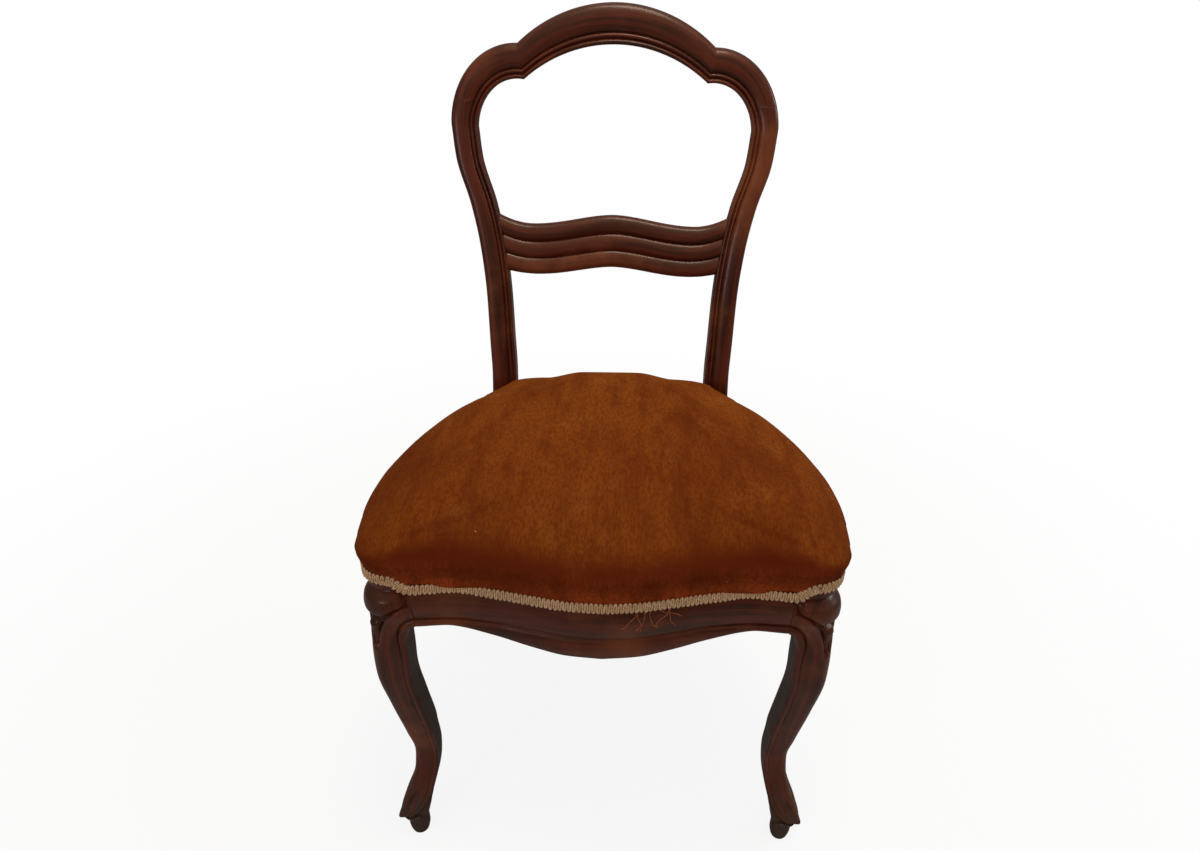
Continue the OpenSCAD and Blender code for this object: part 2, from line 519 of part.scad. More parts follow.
// Closed shell between two stacks of loops that run from the hem up, each closed by its top point
module shell(outer, inner, outer_top, inner_top) {
    n = len(outer[0]);
    a = len(outer) * n;
    b = a + 1 + len(inner) * n;
    points = concat([for (r = outer) each r], [outer_top], [for (r = inner) each r], [inner_top]);
    function wall(count, first, flip) = [for (j = [0:count - 2]) for (i = [0:n - 1])
        let (p = first + j * n + i, q = first + j * n + (i + 1) % n, r = q + n, s = p + n)
        each flip ? [[p, s, q], [q, s, r]] : [[p, q, s], [q, r, s]]];
    function cap(count, first, top, flip) = [for (i = [0:n - 1])
        let (p = first + (count - 1) * n + i, q = first + (count - 1) * n + (i + 1) % n)
        flip ? [p, top, q] : [p, q, top]];
    hem = [for (i = [0:n - 1]) let (j = (i + 1) % n, c = a + 1)
        each [[i, c + i, j], [j, c + i, c + j]]];
    polyhedron(points = points, faces = turned(concat(wall(len(outer), 0, false),
        cap(len(outer), 0, a, false), wall(len(inner), a + 1, true),
        cap(len(inner), a + 1, b, true), hem)), convexity = 6);
}
// Room for the stiles, cut from every soft layer
module stile_room() {
    both_sides()
        translate([post_x + 12, 0, 0])
            rotate([0, -90, 0])
                linear_extrude(stile_w + 12 + soft_gap)
                    polygon([for (z = [gimp_bottom - 20, waist_z, waist_z + 60])
                        [z, stile_y(z) - soft_gap],
                        for (z = [waist_z + 60, gimp_bottom - 20]) [z, post_y + 60]]);
}
cover_out = -3 + soft_gap + cover_t;
cover_shares = [1, 0.97, 0.93, 0.86, 0.76, 0.62, 0.44, 0.22];
canvas_crown = crown_z - cover_t - second_t - first_t - 2 * soft_gap;
module cover_body() {
    difference() {
        shell(concat([ring_at(cover_out, hem_low, 1, 1), ring_at(0, gimp_z, 1, 1),
            ring_at(overhang * 0.35, gimp_z + 11, 1, 0.5, 0.4)],
            dome(overhang, rim_z, crown_z, cover_shares)),
            concat([ring_at(cover_out - cover_t, hem_low, 1, 1),
            ring_at(-cover_t, gimp_z + 0.6, 1, 1)],
            dome(overhang - cover_t, rim_z - 0.6, crown_z - cover_t, [1, 0.95, 0.86, 0.68, 0.4])),
            [crown_c[0], crown_c[1], crown_z], [crown_c[0], crown_c[1], crown_z - cover_t]);
        stile_room();
    }
}
// How far the lower edge of each layer stands in from its rim
hem_in = 3.4;
layer_shares = [1, 0.92, 0.78, 0.55, 0.28];
module layer(out_a, rim_a, crown_a, out_b, rim_b, crown_b, hem_z) {
    difference() {
        shell(concat([ring_at(out_a - hem_in, hem_z, 2, 0, 0.6)],
                dome(out_a, rim_a, crown_a, layer_shares, 2)),
            concat([ring_at(out_b - hem_in, hem_z, 2, 0, 0.6)], dome(out_b, rim_b, crown_b, layer_shares, 2)),
            [crown_c[0], crown_c[1], crown_a], [crown_c[0], crown_c[1], crown_b]);
        stile_room();
    }
}

// Webbing: straps that pass over and under each other
weave = web_t / 2 + 0.15;
lengthwise_x = [-102, -34, 34, 102];
crosswise_y = [-150, -72, 6, 84];
web_mid = web_z - web_t - 0.3;
function strap_z(t, crossings, phase) = let (near = [for (k = [0:len(crossings) - 1])
    abs(t - crossings[k]) < web_w / 2 + 8 ? (k % 2 == phase ? 1 : -1)
    * (1 - ease(web_w / 2 + 2, web_w / 2 + 8, abs(t - crossings[k]))) : 0])
    weave * [for (v = near) 1] * near;
function strap_line(a, b, crossings, phase) = let (stops = sorted(concat([a, b],
    [for (c = crossings) each [c - web_w / 2 - 8, c - web_w / 2 - 2, c + web_w / 2 + 2, c + web_w / 2 + 8]])))
    concat([for (t = stops) [t, web_mid + strap_z(t, crossings, phase) + web_t / 2]],
    [for (k = [len(stops) - 1:-1:0]) [stops[k], web_mid + strap_z(stops[k], crossings, phase) - web_t / 2]]);

// Springs: hourglass coils between the webbing and the canvas
spring_places = [[-76, -118], [76, -118], [0, -36], [-66, 50], [66, 50]];
spring_low = web_z + wire_d / 2 + soft_gap - 1;
spring_high = frame_z + 24;
spring_sides = 6;
spring_rings = 8;
function coil_point(u) = let (r = mix(waist_r, spring_r, pow(abs(2 * u - 1), 1.6)),
    a = 360 * spring_turns * u)
    [r * cos(a), r * sin(a), mix(spring_low, spring_high, ease(0, 1, u) * 0.4 + u * 0.6)];
coil_count = spring_turns * spring_rings;
coil = [for (k = [0:coil_count]) coil_point(k / coil_count)];
function coil_ring(k) = let (a = coil[max(k - 1, 0)], b = coil[min(k + 1, coil_count)], d = unit(b - a),
    side = unit(cross(d, [0, 0, 1])), up = cross(side, d))
    [for (j = [0:spring_sides - 1]) coil[k] + wire_d / 2 * (cos(360 * j / spring_sides) * side
        + sin(360 * j / spring_sides) * up)];
coil_gap = min([for (i = [0:coil_count]) for (j = [i + ceil(spring_rings / 2):coil_count])
    if (j <= coil_count) norm(coil[i] - coil[j])]) - wire_d;
echo(least_gap_of_a_spring_to_itself_mm = coil_gap);

// Tacks: those under the rails hold the webbing, those under the gimp hold the cover's hem.
// Their shanks stop at the wood, because tacks are driven into it and leave no bore.
tack_head_t = 0.8;
module tack(at, turn, shank, hole = 0) {
    translate(at)
        rotate(turn) {
            cylinder(d = tack_head, h = tack_head_t, $fn = 16);
            translate([0, 0, -shank])
                cylinder(d = tack_d + hole, h = shank, $fn = 16);
        }
}
web_front = rail_back_y - 13;
web_rear = rear_front + 15;
function web_side(y) = side_inner(y) + 12;
strap_ends = [for (k = [0:8]) mix(-190, 120, k / 8)];
module web_tacks(hole = 0) {
    under = web_mid - web_t / 2 - weave - 0.05;
    shank = web_z - under - 0.05;
    for (x = lengthwise_x, s = [-1, 1], y = [web_front + 6, web_rear - 6])
        tack([x + s * web_w * 0.3, y, under], [180, 0, 0], shank, hole);
    for (y = crosswise_y, s = [-1, 1])
        both_sides()
            tack([web_side(y + s * web_w * 0.3) - 6, y + s * web_w * 0.3, under], [180, 0, 0], shank, hole);
}
cover_tack_x = [0, 42, 103, 145];
cover_tack_y = [-110, -60, 25, 92];
hem_z = gimp_bottom + 4.5;
hem_low = gimp_bottom + 1.5;
hem_out = cover_out * (gimp_z - hem_z) / (gimp_z - hem_low);
tack_out = hem_out + 0.5;
module cover_tack_row() {
    shank = tack_out - hem_out - 0.2;
    for (x = cover_tack_x)
        tack([x, front_y(x) - tack_out, hem_z + lift(x, front_y(x))], [90, 0, 0], shank);
    for (y = cover_tack_y) {
        n = side_normal(y);
        tack([side_at(y) + n[0] * tack_out, y + n[1] * tack_out, hem_z + lift(side_at(y), y)],
            [90, 0, 90 + atan2(n[1], n[0])], shank);
    }
    for (x = [0, 80])
        tack([x, rear_edge + tack_out, hem_z], [-90, 0, 0], shank);
}
module all_cover_tacks() {
    cover_tack_row();
    mirror([1, 0, 0])
        cover_tack_row();
}

// Sliding the whole chair along Y to centre it
front_most = min([for (p = dome(overhang, rim_z, crown_z, [1])[0]) p[1]]);
rear_most = max([for (r = crest_rings) for (p = r) p[1]]);
slide_y = -(front_most + rear_most) / 2;
module placed() {
    translate([0, slide_y, 0])
        children();
}

module crest_rail() {
    color(wood)
        placed()
            difference() {
                loft(crest_rings, len(moulding));
                both_sides()
                    crest_dowel(dowel_d);
            }
}
module right_stile_body() {
    difference() {
        stile_body();
        crest_dowel(dowel_d);
        cross_dowel(dowel_d);
        side_rear_dowel(dowel_d);
        rear_dowel(dowel_d);
    }
}
module left_stile() {
    color(wood)
        placed()
            mirror([1, 0, 0])
                right_stile_body();
}
module right_stile() {
    color(wood)
        placed()
            right_stile_body();
}
module cross_rail() {
    color(wood)
        placed()
            difference() {
                cross_body();
                both_sides()
                    cross_dowel(dowel_d);
            }
}
module front_rail() {
    color(wood)
        placed()
            difference() {
                loft([for (x = front_stations) rail_ring(function (d, z) [x, front_y(x) - d, z],
                    gimp_bottom + lift(x, front_y(x)), rail_groove(x), rail_bottom(x), web_z,
                    -rail_depth(x))],
                    rail_front_count);
                both_sides() {
                    front_dowel(dowel_d);
                    front_screws();
                }
            }
}
function rail_depth(x) = rail_back_y - front_y(x);
module side_rail_body() {
    difference() {
        loft([for (k = [0:12]) let (y = side_station(k / 12, web_z)) rail_ring(side_place(k / 12),
            gimp_bottom + lift(side_at(y), y),
            web_z + 4 + 5.5 * pow(clamp(-y / 160, 0, 1.2), 2), curve(side_bottom, y), web_z, -side_t)],
            rail_front_count);
        side_front_dowel(dowel_d);
        side_rear_dowel(dowel_d);
        front_screws();
        rear_screws();
    }
}
module left_side_rail() {
    color(wood)
        placed()
            mirror([1, 0, 0])
                side_rail_body();
}
module right_side_rail() {
    color(wood)
        placed()
            side_rail_body();
}
module rear_rail() {
    half = inner_x(web_z) - fit_gap;
    color(frame_wood)
        placed()
            difference() {
                translate([-half, rear_front, web_z])
                    cube([2 * half, rear_t, frame_z - web_z]);
                both_sides() {
                    rear_dowel(dowel_d);
                    rear_screws();
                }
            }
}
module right_leg_body() {
    difference() {
        loft(leg_rings, len(leg_rings[0]) - 1);
        front_dowel(dowel_d);
        side_front_dowel(dowel_d);
    }
}
module left_front_leg() {
    color(wood)
        placed()
            mirror([1, 0, 0])
                right_leg_body();
}
module right_front_leg() {
    color(wood)
        placed()
            right_leg_body();
}
module front_block_body() {
    difference() {
        block(front_block);
        front_screws();
    }
}
module rear_block_body() {
    difference() {
        block(rear_block);
        rear_screws();
    }
}
module front_left_corner_block() {
    color(frame_wood)
        placed()
            mirror([1, 0, 0])
                front_block_body();
}
module front_right_corner_block() {
    color(frame_wood)
        placed()
            front_block_body();
}
module rear_left_corner_block() {
    color(frame_wood)
        placed()
            mirror([1, 0, 0])
                rear_block_body();
}
module rear_right_corner_block() {
    color(frame_wood)
        placed()
            rear_block_body();
}
module corner_block_screws() {
    color("#8c8577")
        placed()
            both_sides() {
                front_screws();
                rear_screws();
            }
}
module crest_dowels() {
    color(frame_wood)
        placed()
            both_sides()
                crest_dowel(dowel_d);
}
module cross_rail_dowels() {
    color(frame_wood)
        placed()
            both_sides()
                cross_dowel(dowel_d);
}
module front_rail_dowels() {
    color(frame_wood)
        placed()
            both_sides()
                front_dowel(dowel_d);
}
module side_rail_dowels() {
    color(frame_wood)
        placed()
            both_sides() {
                side_front_dowel(dowel_d);
                side_rear_dowel(dowel_d);
            }
}
module rear_rail_dowels() {
    color(frame_wood)
        placed()
            both_sides()
                rear_dowel(dowel_d);
}
module lengthwise_webbing() {
    color("#b79a6a")
        placed()
            difference() {
                lengthwise_straps();
                web_tacks(0.1);
            }
}
module crosswise_webbing() {
    color("#b79a6a")
        placed()
            difference() {
                intersection() {
                    crosswise_straps();
                    translate([0, 0, web_z - 10])
                        linear_extrude(10)
                            polygon(concat([for (y = strap_ends) [web_side(y), y]],
                                [for (k = [len(strap_ends) - 1:-1:0])
                                    [-web_side(strap_ends[k]), strap_ends[k]]]));
                }
                web_tacks(0.1);
            }
}
module lengthwise_straps() {
            for (k = [0:len(lengthwise_x) - 1])
                translate([lengthwise_x[k] - web_w / 2, 0, 0])
                    rotate([90, 0, 90])
                        linear_extrude(web_w)
                            polygon(strap_line(web_front, web_rear, crosswise_y, k % 2));
}
module crosswise_straps() {
            for (k = [0:len(crosswise_y) - 1])
                translate([0, crosswise_y[k] + web_w / 2, 0])
                    rotate([90, 0, 0])
                        linear_extrude(web_w)
                            polygon(strap_line(-leg_e, leg_e, lengthwise_x, (k + 1) % 2));
}
module webbing_tacks() {
    color("#3c3c40")
        placed()
            web_tacks();
}
module coil_springs() {
    color("#9a9a9c")
        placed()
            for (p = spring_places)
                translate([p[0], p[1], 0])
                    loft([for (k = [coil_count:-1:0]) coil_ring(k)], 4);
}

// Lashing twine over the springs, lengthwise lines under crosswise ones
twine_x = [-71, 0, 71];
twine_y = [-118, -36, 50];
twine_rest = spring_high + wire_d / 2 + soft_gap;
module twine_line(a, b, level, stops) {
    line = concat([[a, frame_z + soft_gap]], [for (s = stops) [s, level]], [[b, frame_z + soft_gap]]);
    linear_extrude(twine_d)
        polygon(concat(line, [for (k = [len(line) - 1:-1:0]) [line[k][0], line[k][1] + twine_d]]));
}
module spring_twine() {
    color("#c8b48a")
        placed() {
            for (x = twine_x)
                translate([x - twine_d / 2, 0, 0])
                    rotate([90, 0, 90])
                        twine_line(rail_back_y - 12, rear_front + 10, twine_rest,
                            [twine_y[0] - 30, twine_y[2] + 30]);
            for (y = twine_y)
                translate([0, y + twine_d / 2, 0])
                    rotate([90, 0, 0])
                        twine_line(-side_inner(y) - 10, side_inner(y) + 10, twine_rest + twine_d + 0.2,
                            [twine_x[0] - 32, twine_x[2] + 32]);
        }
}
module spring_canvas() {
    color("#b0946a")
        placed()
            layer(-8, frame_z + 9, canvas_crown, -9, frame_z + 8, canvas_crown - 1, frame_z + soft_gap);
}
second_base = crown_z - cover_t - 2.5;
first_base = second_base - second_t;
module first_stuffing() {
    color("#6d5a3c")
        placed()
            layer(-0.9, rim_z - 5, first_base - soft_gap, -7.3, frame_z + 9.6, canvas_crown + soft_gap,
                frame_z + soft_gap);
}
module second_stuffing() {
    color("#e6dcc4")
        placed()
            layer(overhang - cover_t - 3, rim_z - 2.4, second_base, -0.1, rim_z - 4.6,
                first_base, frame_z + soft_gap);
}
module velvet_cover() {
    color(velvet)
        placed()
            cover_body();
}
module cover_tacks() {
    color("#2e2e32")
        placed()
            all_cover_tacks();
}

// Gimp: a flat braid along the cover's hem, from stile to stile, with one more length behind
gimp_in = tack_out + tack_head_t + 2 * soft_gap;
gimp_last = len(half_plan) - 5;
gimp_order = concat([for (k = [gimp_last:-1:0]) k], [for (k = [1:gimp_last]) len(plan) - k]);
module gimp_braid() {
    low = gimp_bottom;
    reach = inner_x(gimp_z) - soft_gap;
    color("#b58a55")
        placed() {
            loft([for (k = gimp_order) let (p = plan[k], up = lift(p[0], p[1]))
                [for (c = [[gimp_in, 0], [gimp_in + gimp_t, 0], [gimp_in + gimp_t, gimp_w],
                    [gimp_in, gimp_w]])
                    [p[0] + p[2] * c[0], p[1] + p[3] * c[0], low + up + c[1]]]], 2);
            translate([-reach, rear_edge + gimp_in, low])
                cube([2 * reach, gimp_t, gimp_w]);
        }
}
// Dust cover: thin cloth under the webbing, inside the rails' lips, cut round the legs and stiles
dust_t = 0.6;
module dust_cover() {
    color("#22201f")
        placed()
            translate([0, 0, web_mid - web_t / 2 - weave - tack_head_t - 0.05 - soft_gap - dust_t])
                linear_extrude(dust_t)
                    difference() {
                        polygon([for (p = ring_at(-20, 0)) [p[0], p[1]]]);
                        for (s = [-1, 1]) {
                            translate([s * (head_x + 50 - soft_gap), -head_x - 50 + soft_gap])
                                square(100, center = true);
                            translate([s * post_x, post_y + 46 - soft_gap])
                                square([2 * stile_w + 8, 100], center = true);
                        }
                    }
}

crest_rail();
left_stile();
right_stile();
cross_rail();
front_rail();
rear_rail();
left_side_rail();
right_side_rail();
left_front_leg();
right_front_leg();
front_left_corner_block();
front_right_corner_block();
rear_left_corner_block();
rear_right_corner_block();
corner_block_screws();
crest_dowels();
cross_rail_dowels();
front_rail_dowels();
side_rail_dowels();
rear_rail_dowels();
lengthwise_webbing();
crosswise_webbing();
webbing_tacks();
coil_springs();
spring_twine();
spring_canvas();
first_stuffing();
second_stuffing();
velvet_cover();
cover_tacks();
gimp_braid();
dust_cover();
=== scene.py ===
import bmesh
import bpy
import json
import math
import numpy as np
from contextlib import contextmanager
from mathutils import Matrix, Vector


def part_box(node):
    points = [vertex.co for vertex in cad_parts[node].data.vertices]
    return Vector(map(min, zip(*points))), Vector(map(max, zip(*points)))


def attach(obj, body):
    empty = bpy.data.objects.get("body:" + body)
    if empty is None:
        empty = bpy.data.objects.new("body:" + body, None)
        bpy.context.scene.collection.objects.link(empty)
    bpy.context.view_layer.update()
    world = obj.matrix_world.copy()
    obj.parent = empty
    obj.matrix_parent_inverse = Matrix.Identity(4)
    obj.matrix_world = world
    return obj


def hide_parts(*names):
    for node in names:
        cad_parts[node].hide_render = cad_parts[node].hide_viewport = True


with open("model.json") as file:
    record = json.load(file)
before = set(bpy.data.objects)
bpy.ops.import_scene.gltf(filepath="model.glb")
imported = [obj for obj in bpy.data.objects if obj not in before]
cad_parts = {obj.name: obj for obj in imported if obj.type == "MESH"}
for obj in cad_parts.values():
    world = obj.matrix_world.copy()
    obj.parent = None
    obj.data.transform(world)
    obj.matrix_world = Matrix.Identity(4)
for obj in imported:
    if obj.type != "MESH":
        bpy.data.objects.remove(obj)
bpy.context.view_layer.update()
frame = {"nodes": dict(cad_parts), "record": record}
print("frame loaded:", len(frame["nodes"]), "nodes")

# Sizes in millimetres, y measured before the slide that centres the chair
chair = {"height": 907.0, "slideY": -11.02, "seatZ": 401.0, "gimpZ": 387.0, "gimpWidth": 13.0,
         "legEdge": 245.7, "headWidth": 51.5, "webZ": 331.0}
gimpLow = chair["gimpZ"] - chair["gimpWidth"]
edge, web, seatZ, topZ = chair["legEdge"], chair["webZ"], chair["seatZ"], chair["height"]
headX = edge - chair["headWidth"]


# Small maths
def mix(a, b, f):
    return a + (b - a) * f


def clamp(v, low=0.0, high=1.0):
    return max(low, min(high, v))


def ease(a, b, v):
    u = clamp((v - a) / (b - a))
    return u * u * (3 - 2 * u)


def bump(a, b, v):
    # a smooth hill between a and b
    return math.sin(math.pi * clamp((v - a) / (b - a))) ** 2


def smoothLine(points):
    # interpolation through [position, value] pairs with no overshoot
    xs, ys = [p[0] for p in points], [p[1] for p in points]
    slopes = [(ys[i + 1] - ys[i]) / (xs[i + 1] - xs[i]) for i in range(len(xs) - 1)]
    tangents = [slopes[0]] + [0 if a * b <= 0 else 2 * a * b / (a + b)
                              for a, b in zip(slopes, slopes[1:])] + [slopes[-1]]

    def at(t):
        i = 0
        while i < len(xs) - 2 and t >= xs[i + 1]:
            i += 1
        h = xs[i + 1] - xs[i]
        u = (t - xs[i]) / h
        return (ys[i] * (2 * u ** 3 - 3 * u ** 2 + 1) + tangents[i] * h * (u ** 3 - 2 * u ** 2 + u)
                + ys[i + 1] * (3 * u ** 2 - 2 * u ** 3) + tangents[i + 1] * h * (u ** 3 - u ** 2))
    return at


def spread(a, b, count):
    return [mix(a, b, k / (count - 1)) for k in range(count)]


# Meshes
def place(points):
    # millimetres before the slide to metres in the frame
    p = np.asarray(points, float).reshape(-1, 3).copy()
    p[:, 1] += chair["slideY"]
    return p * 0.001


def newMesh(name, points, faces):
    me = bpy.data.meshes.new(name)
    me.from_pydata([tuple(p) for p in place(points)], [], faces)
    return me


@contextmanager
def editing(me):
    bm = bmesh.new()
    bm.from_mesh(me)
    yield bm
    bm.to_mesh(me)
    bm.free()


def finishMesh(me, sharp=38):
    with editing(me) as bm:
        bmesh.ops.remove_doubles(bm, verts=bm.verts, dist=1e-6)
        bmesh.ops.dissolve_degenerate(bm, edges=bm.edges, dist=1e-7)
        bmesh.ops.recalc_face_normals(bm, faces=bm.faces)
    me.shade_smooth()
    me.set_sharp_from_angle(angle=math.radians(sharp))
    me.update()


def addObject(name, data):
    o = bpy.data.objects.new(name, data)
    bpy.context.scene.collection.objects.link(o)
    return o


def vertexPlaces(me):
    co = np.empty(len(me.vertices) * 3)
    me.vertices.foreach_get("co", co)
    return co.reshape(-1, 3)


def storeValues(me, name, values):
    me.attributes.new(name, "FLOAT", "POINT").data.foreach_set("value", values)


def lengths(vectors):
    return np.maximum(np.linalg.norm(vectors, axis=1, keepdims=True), 1e-6)


def travel(points):
    # metres from the first point to each of them, for points in millimetres
    steps = np.linalg.norm(np.diff(points, axis=0), axis=1)
    return np.concatenate([[0], np.cumsum(steps)]) * 0.001


def skinFaces(rows, n):
    return [[j * n + i, j * n + (i + 1) % n, (j + 1) * n + (i + 1) % n, (j + 1) * n + i]
            for j in range(rows - 1) for i in range(n)]


def ringsToMesh(name, rings, marks=None, chamfer=0.0, sharp=38):
    # closed skin through rings of equal length, with flat ends that a fine chamfer softens
    rings = [np.asarray(r, float) for r in rings]
    for end, inner in ((0, 1), (-1, -2)) if chamfer else ():
        ring = rings[end]
        middle = ring.mean(axis=0)
        step = rings[inner] - ring
        small = middle + (ring - middle) * (1 - chamfer / lengths(ring - middle))
        rings[end] = ring + step / lengths(step) * chamfer
        rings.insert(0 if end == 0 else len(rings), small)
    n, m = len(rings[0]), len(rings)
    ends = [list(range(n - 1, -1, -1)), [(m - 1) * n + i for i in range(n)]]
    me = newMesh(name, np.concatenate(rings), skinFaces(m, n) + ends)
    # UV in metres for the grain: round the piece and along it
    run = travel([r.mean(axis=0) for r in rings])
    girth = [travel(np.vstack([r, r[:1]])) for r in rings]
    coords = [(girth[row][i + side], run[row]) for j in range(m - 1) for i in range(n)
              for row, side in ((j, 0), (j, 1), (j + 1, 1), (j + 1, 0))]
    coords += [(me.vertices[k].co.x * 3, me.vertices[k].co.y * 3) for f in ends for k in f]
    for loop, c in zip(me.uv_layers.new(name="grain").data, coords):
        loop.uv = c
    if marks:
        storeValues(me, "wearAndReflection", [v for row in marks for v in row])
    finishMesh(me, sharp)
    return addObject(name, me)


def mirrored(o, name):
    me = o.data.copy()
    me.name = name
    me.transform(Matrix.Scale(-1, 4, (1, 0, 0)))
    with editing(me) as bm:
        bmesh.ops.reverse_faces(bm, faces=bm.faces)
    me.set_sharp_from_angle(angle=math.radians(38))
    return addObject(name, me)


# Materials
def rgb(code):
    # a colour written as in a paint chart, turned into the light values that shaders use
    parts = [int(code[k:k + 2], 16) / 255 for k in (1, 3, 5)]
    return tuple(p / 12.92 if p <= 0.04045 else ((p + 0.055) / 1.055) ** 2.4 for p in parts)


class Value:
    # a socket that takes part in Python arithmetic, where each operation adds a Math node
    def __init__(self, graph, socket):
        self.graph, self.socket = graph, socket

    def between(self, low, high, outLow=0.0, outHigh=1.0):
        return self.graph.make("MapRange", {"clamp": True, "interpolation_type": "SMOOTHSTEP"},
                               {"Value": self, "From Min": low, "From Max": high,
                                "To Min": outLow, "To Max": outHigh})


def operation(kind, swapped=False):
    def apply(self, other=0.0):
        a, b = (other, self) if swapped else (self, other)
        return self.graph.make("Math", {"operation": kind}, {0: a, 1: b})
    return apply


for symbol, kind in (("add", "ADD"), ("sub", "SUBTRACT"), ("mul", "MULTIPLY")):
    setattr(Value, "__" + symbol + "__", operation(kind))
    setattr(Value, "__r" + symbol + "__", operation(kind, True))
Value.sine, Value.absolute = operation("SINE"), operation("ABSOLUTE")


class Graph:
    # a node tree, where make() adds any node: its settings, then the values or links of its sockets
    def __init__(self, tree):
        self.tree = tree
        tree.nodes.clear()

    def make(self, kind, settings=None, sockets=None, out=0):
        node = self.tree.nodes.new(kind if "Node" in kind else "ShaderNode" + kind)
        for key, value in (settings or {}).items():
            setattr(node, key, value)
        for key, value in (sockets or {}).items():
            socket = node.inputs[key]
            if isinstance(value, Value):
                self.tree.links.new(value.socket, socket)
            elif socket.type == "RGBA":
                socket.default_value = (*(rgb(value) if isinstance(value, str) else value), 1)
            else:
                socket.default_value = value
        return Value(self, node.outputs[out]) if node.outputs else None

    def coords(self, scale=(1, 1, 1), turn=(0, 0, 0), shift=(0, 0, 0)):
        at = self.make("TexCoord", out="Object")
        return self.make("Mapping", {}, {"Vector": at, "Scale": scale, "Rotation": turn, "Location": shift})

    def noise(self, vector, scale, detail=3.0, rough=0.55, distortion=0.0):
        return self.make("TexNoise", {}, {"Vector": vector, "Scale": scale, "Detail": detail,
                                          "Roughness": rough, "Distortion": distortion})

    def stored(self, name):
        return self.make("Attribute", {"attribute_name": name}, out="Fac")

    def blend(self, factor, a, b):
        return self.make("Mix", {"data_type": "RGBA"}, {0: factor, 6: a, 7: b}, 2)

    def relief(self, height, strength, distance):
        return self.make("Bump", {}, {"Height": height, "Strength": strength, "Distance": distance})


class Finish(Graph):
    def __init__(self, name):
        self.material = bpy.data.materials.new(name)
        self.material.use_nodes = True
        super().__init__(self.material.node_tree)

    def show(self, shader):
        self.make("OutputMaterial", {}, {"Surface": shader})
        return self.material

    def surface(self, **sockets):
        named = {key.replace("_", " "): value for key, value in sockets.items()}
        return self.show(self.make("BsdfPrincipled", {}, named))


# the fourth colour is grey-olive: rubbed wood on edges, toe pads and lower legs, and a painted reflection on
# the front legs' inner faces
polish = {"dark": "#32130b", "middle": "#602313", "light": "#94502c", "wearAndReflection": "#43332a",
          "roughness": 0.4, "poreDepth": 0.00012}


def polishedWood(name):
    f = Finish(name)
    grain = f.make("UVMap", {"uv_map": "grain"})
    long = f.make("Mapping", {}, {"Vector": grain, "Scale": (60, 3.2, 1)})
    figure = f.noise(long, 2.0, 5.0, 0.62, 0.6)
    pores = f.noise(f.make("Mapping", {}, {"Vector": grain, "Scale": (900, 26, 1)}), 1.0, 2.0, 0.5)
    wide = f.noise(f.coords(), 9.0, 4.0, 0.6)
    body = f.blend(figure.between(0.32, 0.68), polish["dark"], polish["middle"])
    body = f.blend(wide.between(0.45, 0.75) * 0.55, body, polish["light"])
    body = f.blend(pores.between(0.62, 0.74) * 0.5, body, polish["dark"])
    # the stored mark paints rubbed wood on edges, toe pads and lower legs, and a painted reflection over the
    # front legs' inner faces
    edges = f.stored("wearAndReflection")
    scuffs = f.noise(f.coords(), 55.0, 4.0, 0.7)
    bareAndReflected = (edges * 1.5 + scuffs - 0.5).between(0.25, 1.0)
    body = f.blend(bareAndReflected, body, polish["wearAndReflection"])
    rough = polish["roughness"] + 0.16 * scuffs.between(0.4, 0.8) + 0.3 * bareAndReflected
    height = f.relief(pores.between(0.55, 0.75, 1, 0) + figure * 0.6, 0.25, polish["poreDepth"])
    return f.surface(Base_Color=body, Roughness=rough, Normal=height, Coat_Weight=0.16,
                     Coat_Roughness=0.14, IOR=1.4, Specular_Tint=(1.0, 0.72, 0.46))


# the front colour is painted shade on faces turned to the front and sides, away from the overhead light, and
# the low colour is a painted sheen on the low front band
velvetCloth = {"top": "#894711", "front": "#541907", "pale": "#a86a2c", "deepToneAndGapShade": "#561f05", "low": "#ac491c",
               "pile": 0.0005}


def velvet(name):
    f = Finish(name)
    at = f.coords()
    paintedShade = f.stored("paintedShade")
    strokes = f.noise(f.coords(scale=(1.0, 0.5, 0.7), turn=(0, 0, 0.3)), 7.5, 5.0, 0.62, 0.5)
    blotch = f.noise(at, 19.0, 4.0, 0.6)
    fine = f.noise(f.coords(scale=(1, 0.4, 0.5)), 420.0, 3.0, 0.7)
    streak = f.noise(f.coords(scale=(1.0, 0.22, 0.3), turn=(0, 0, 0.12)), 60.0, 4.0, 0.65)
    hem = f.stored("hem")
    # painted shade: faces turned to the front and sides go from the top colour to the darker front colour
    body = f.blend(paintedShade, velvetCloth["top"], velvetCloth["front"])
    # painted sheen: the low front band, which faces down into shade, is lightened to a brighter red
    body = f.blend(hem, body, velvetCloth["low"])
    # the strokes, streaks and fine pile take the velvet's own deeper tone at random
    body = f.blend(strokes.between(0.46, 0.68) * 0.55, body, velvetCloth["deepToneAndGapShade"])
    body = f.blend(blotch.between(0.52, 0.8) * 0.26 * (1 - paintedShade * 0.6), body, velvetCloth["pale"])
    body = f.blend(streak.between(0.42, 0.72) * 0.5, body, velvetCloth["deepToneAndGapShade"])
    body = f.blend(fine.between(0.42, 0.62) * 0.5, body, velvetCloth["deepToneAndGapShade"])
    lint = f.make("TexVoronoi", {"feature": "F1"}, {"Vector": at, "Scale": 26.0, "Randomness": 1.0})
    keep = f.noise(at, 31.0, 0.0)
    fleck = lint.between(0.02, 0.035, 1, 0) * keep.between(0.60, 0.64)
    body = f.blend(fleck * 0.75, body, "#d9b79a")
    pile = f.relief(fine + 0.5 * blotch, 0.5, velvetCloth["pile"])
    return f.surface(Base_Color=body, Roughness=0.9, Normal=pile, Sheen_Weight=0.1, Sheen_Roughness=0.4,
                     Sheen_Tint="#d9702a", Specular_IOR_Level=0.05)


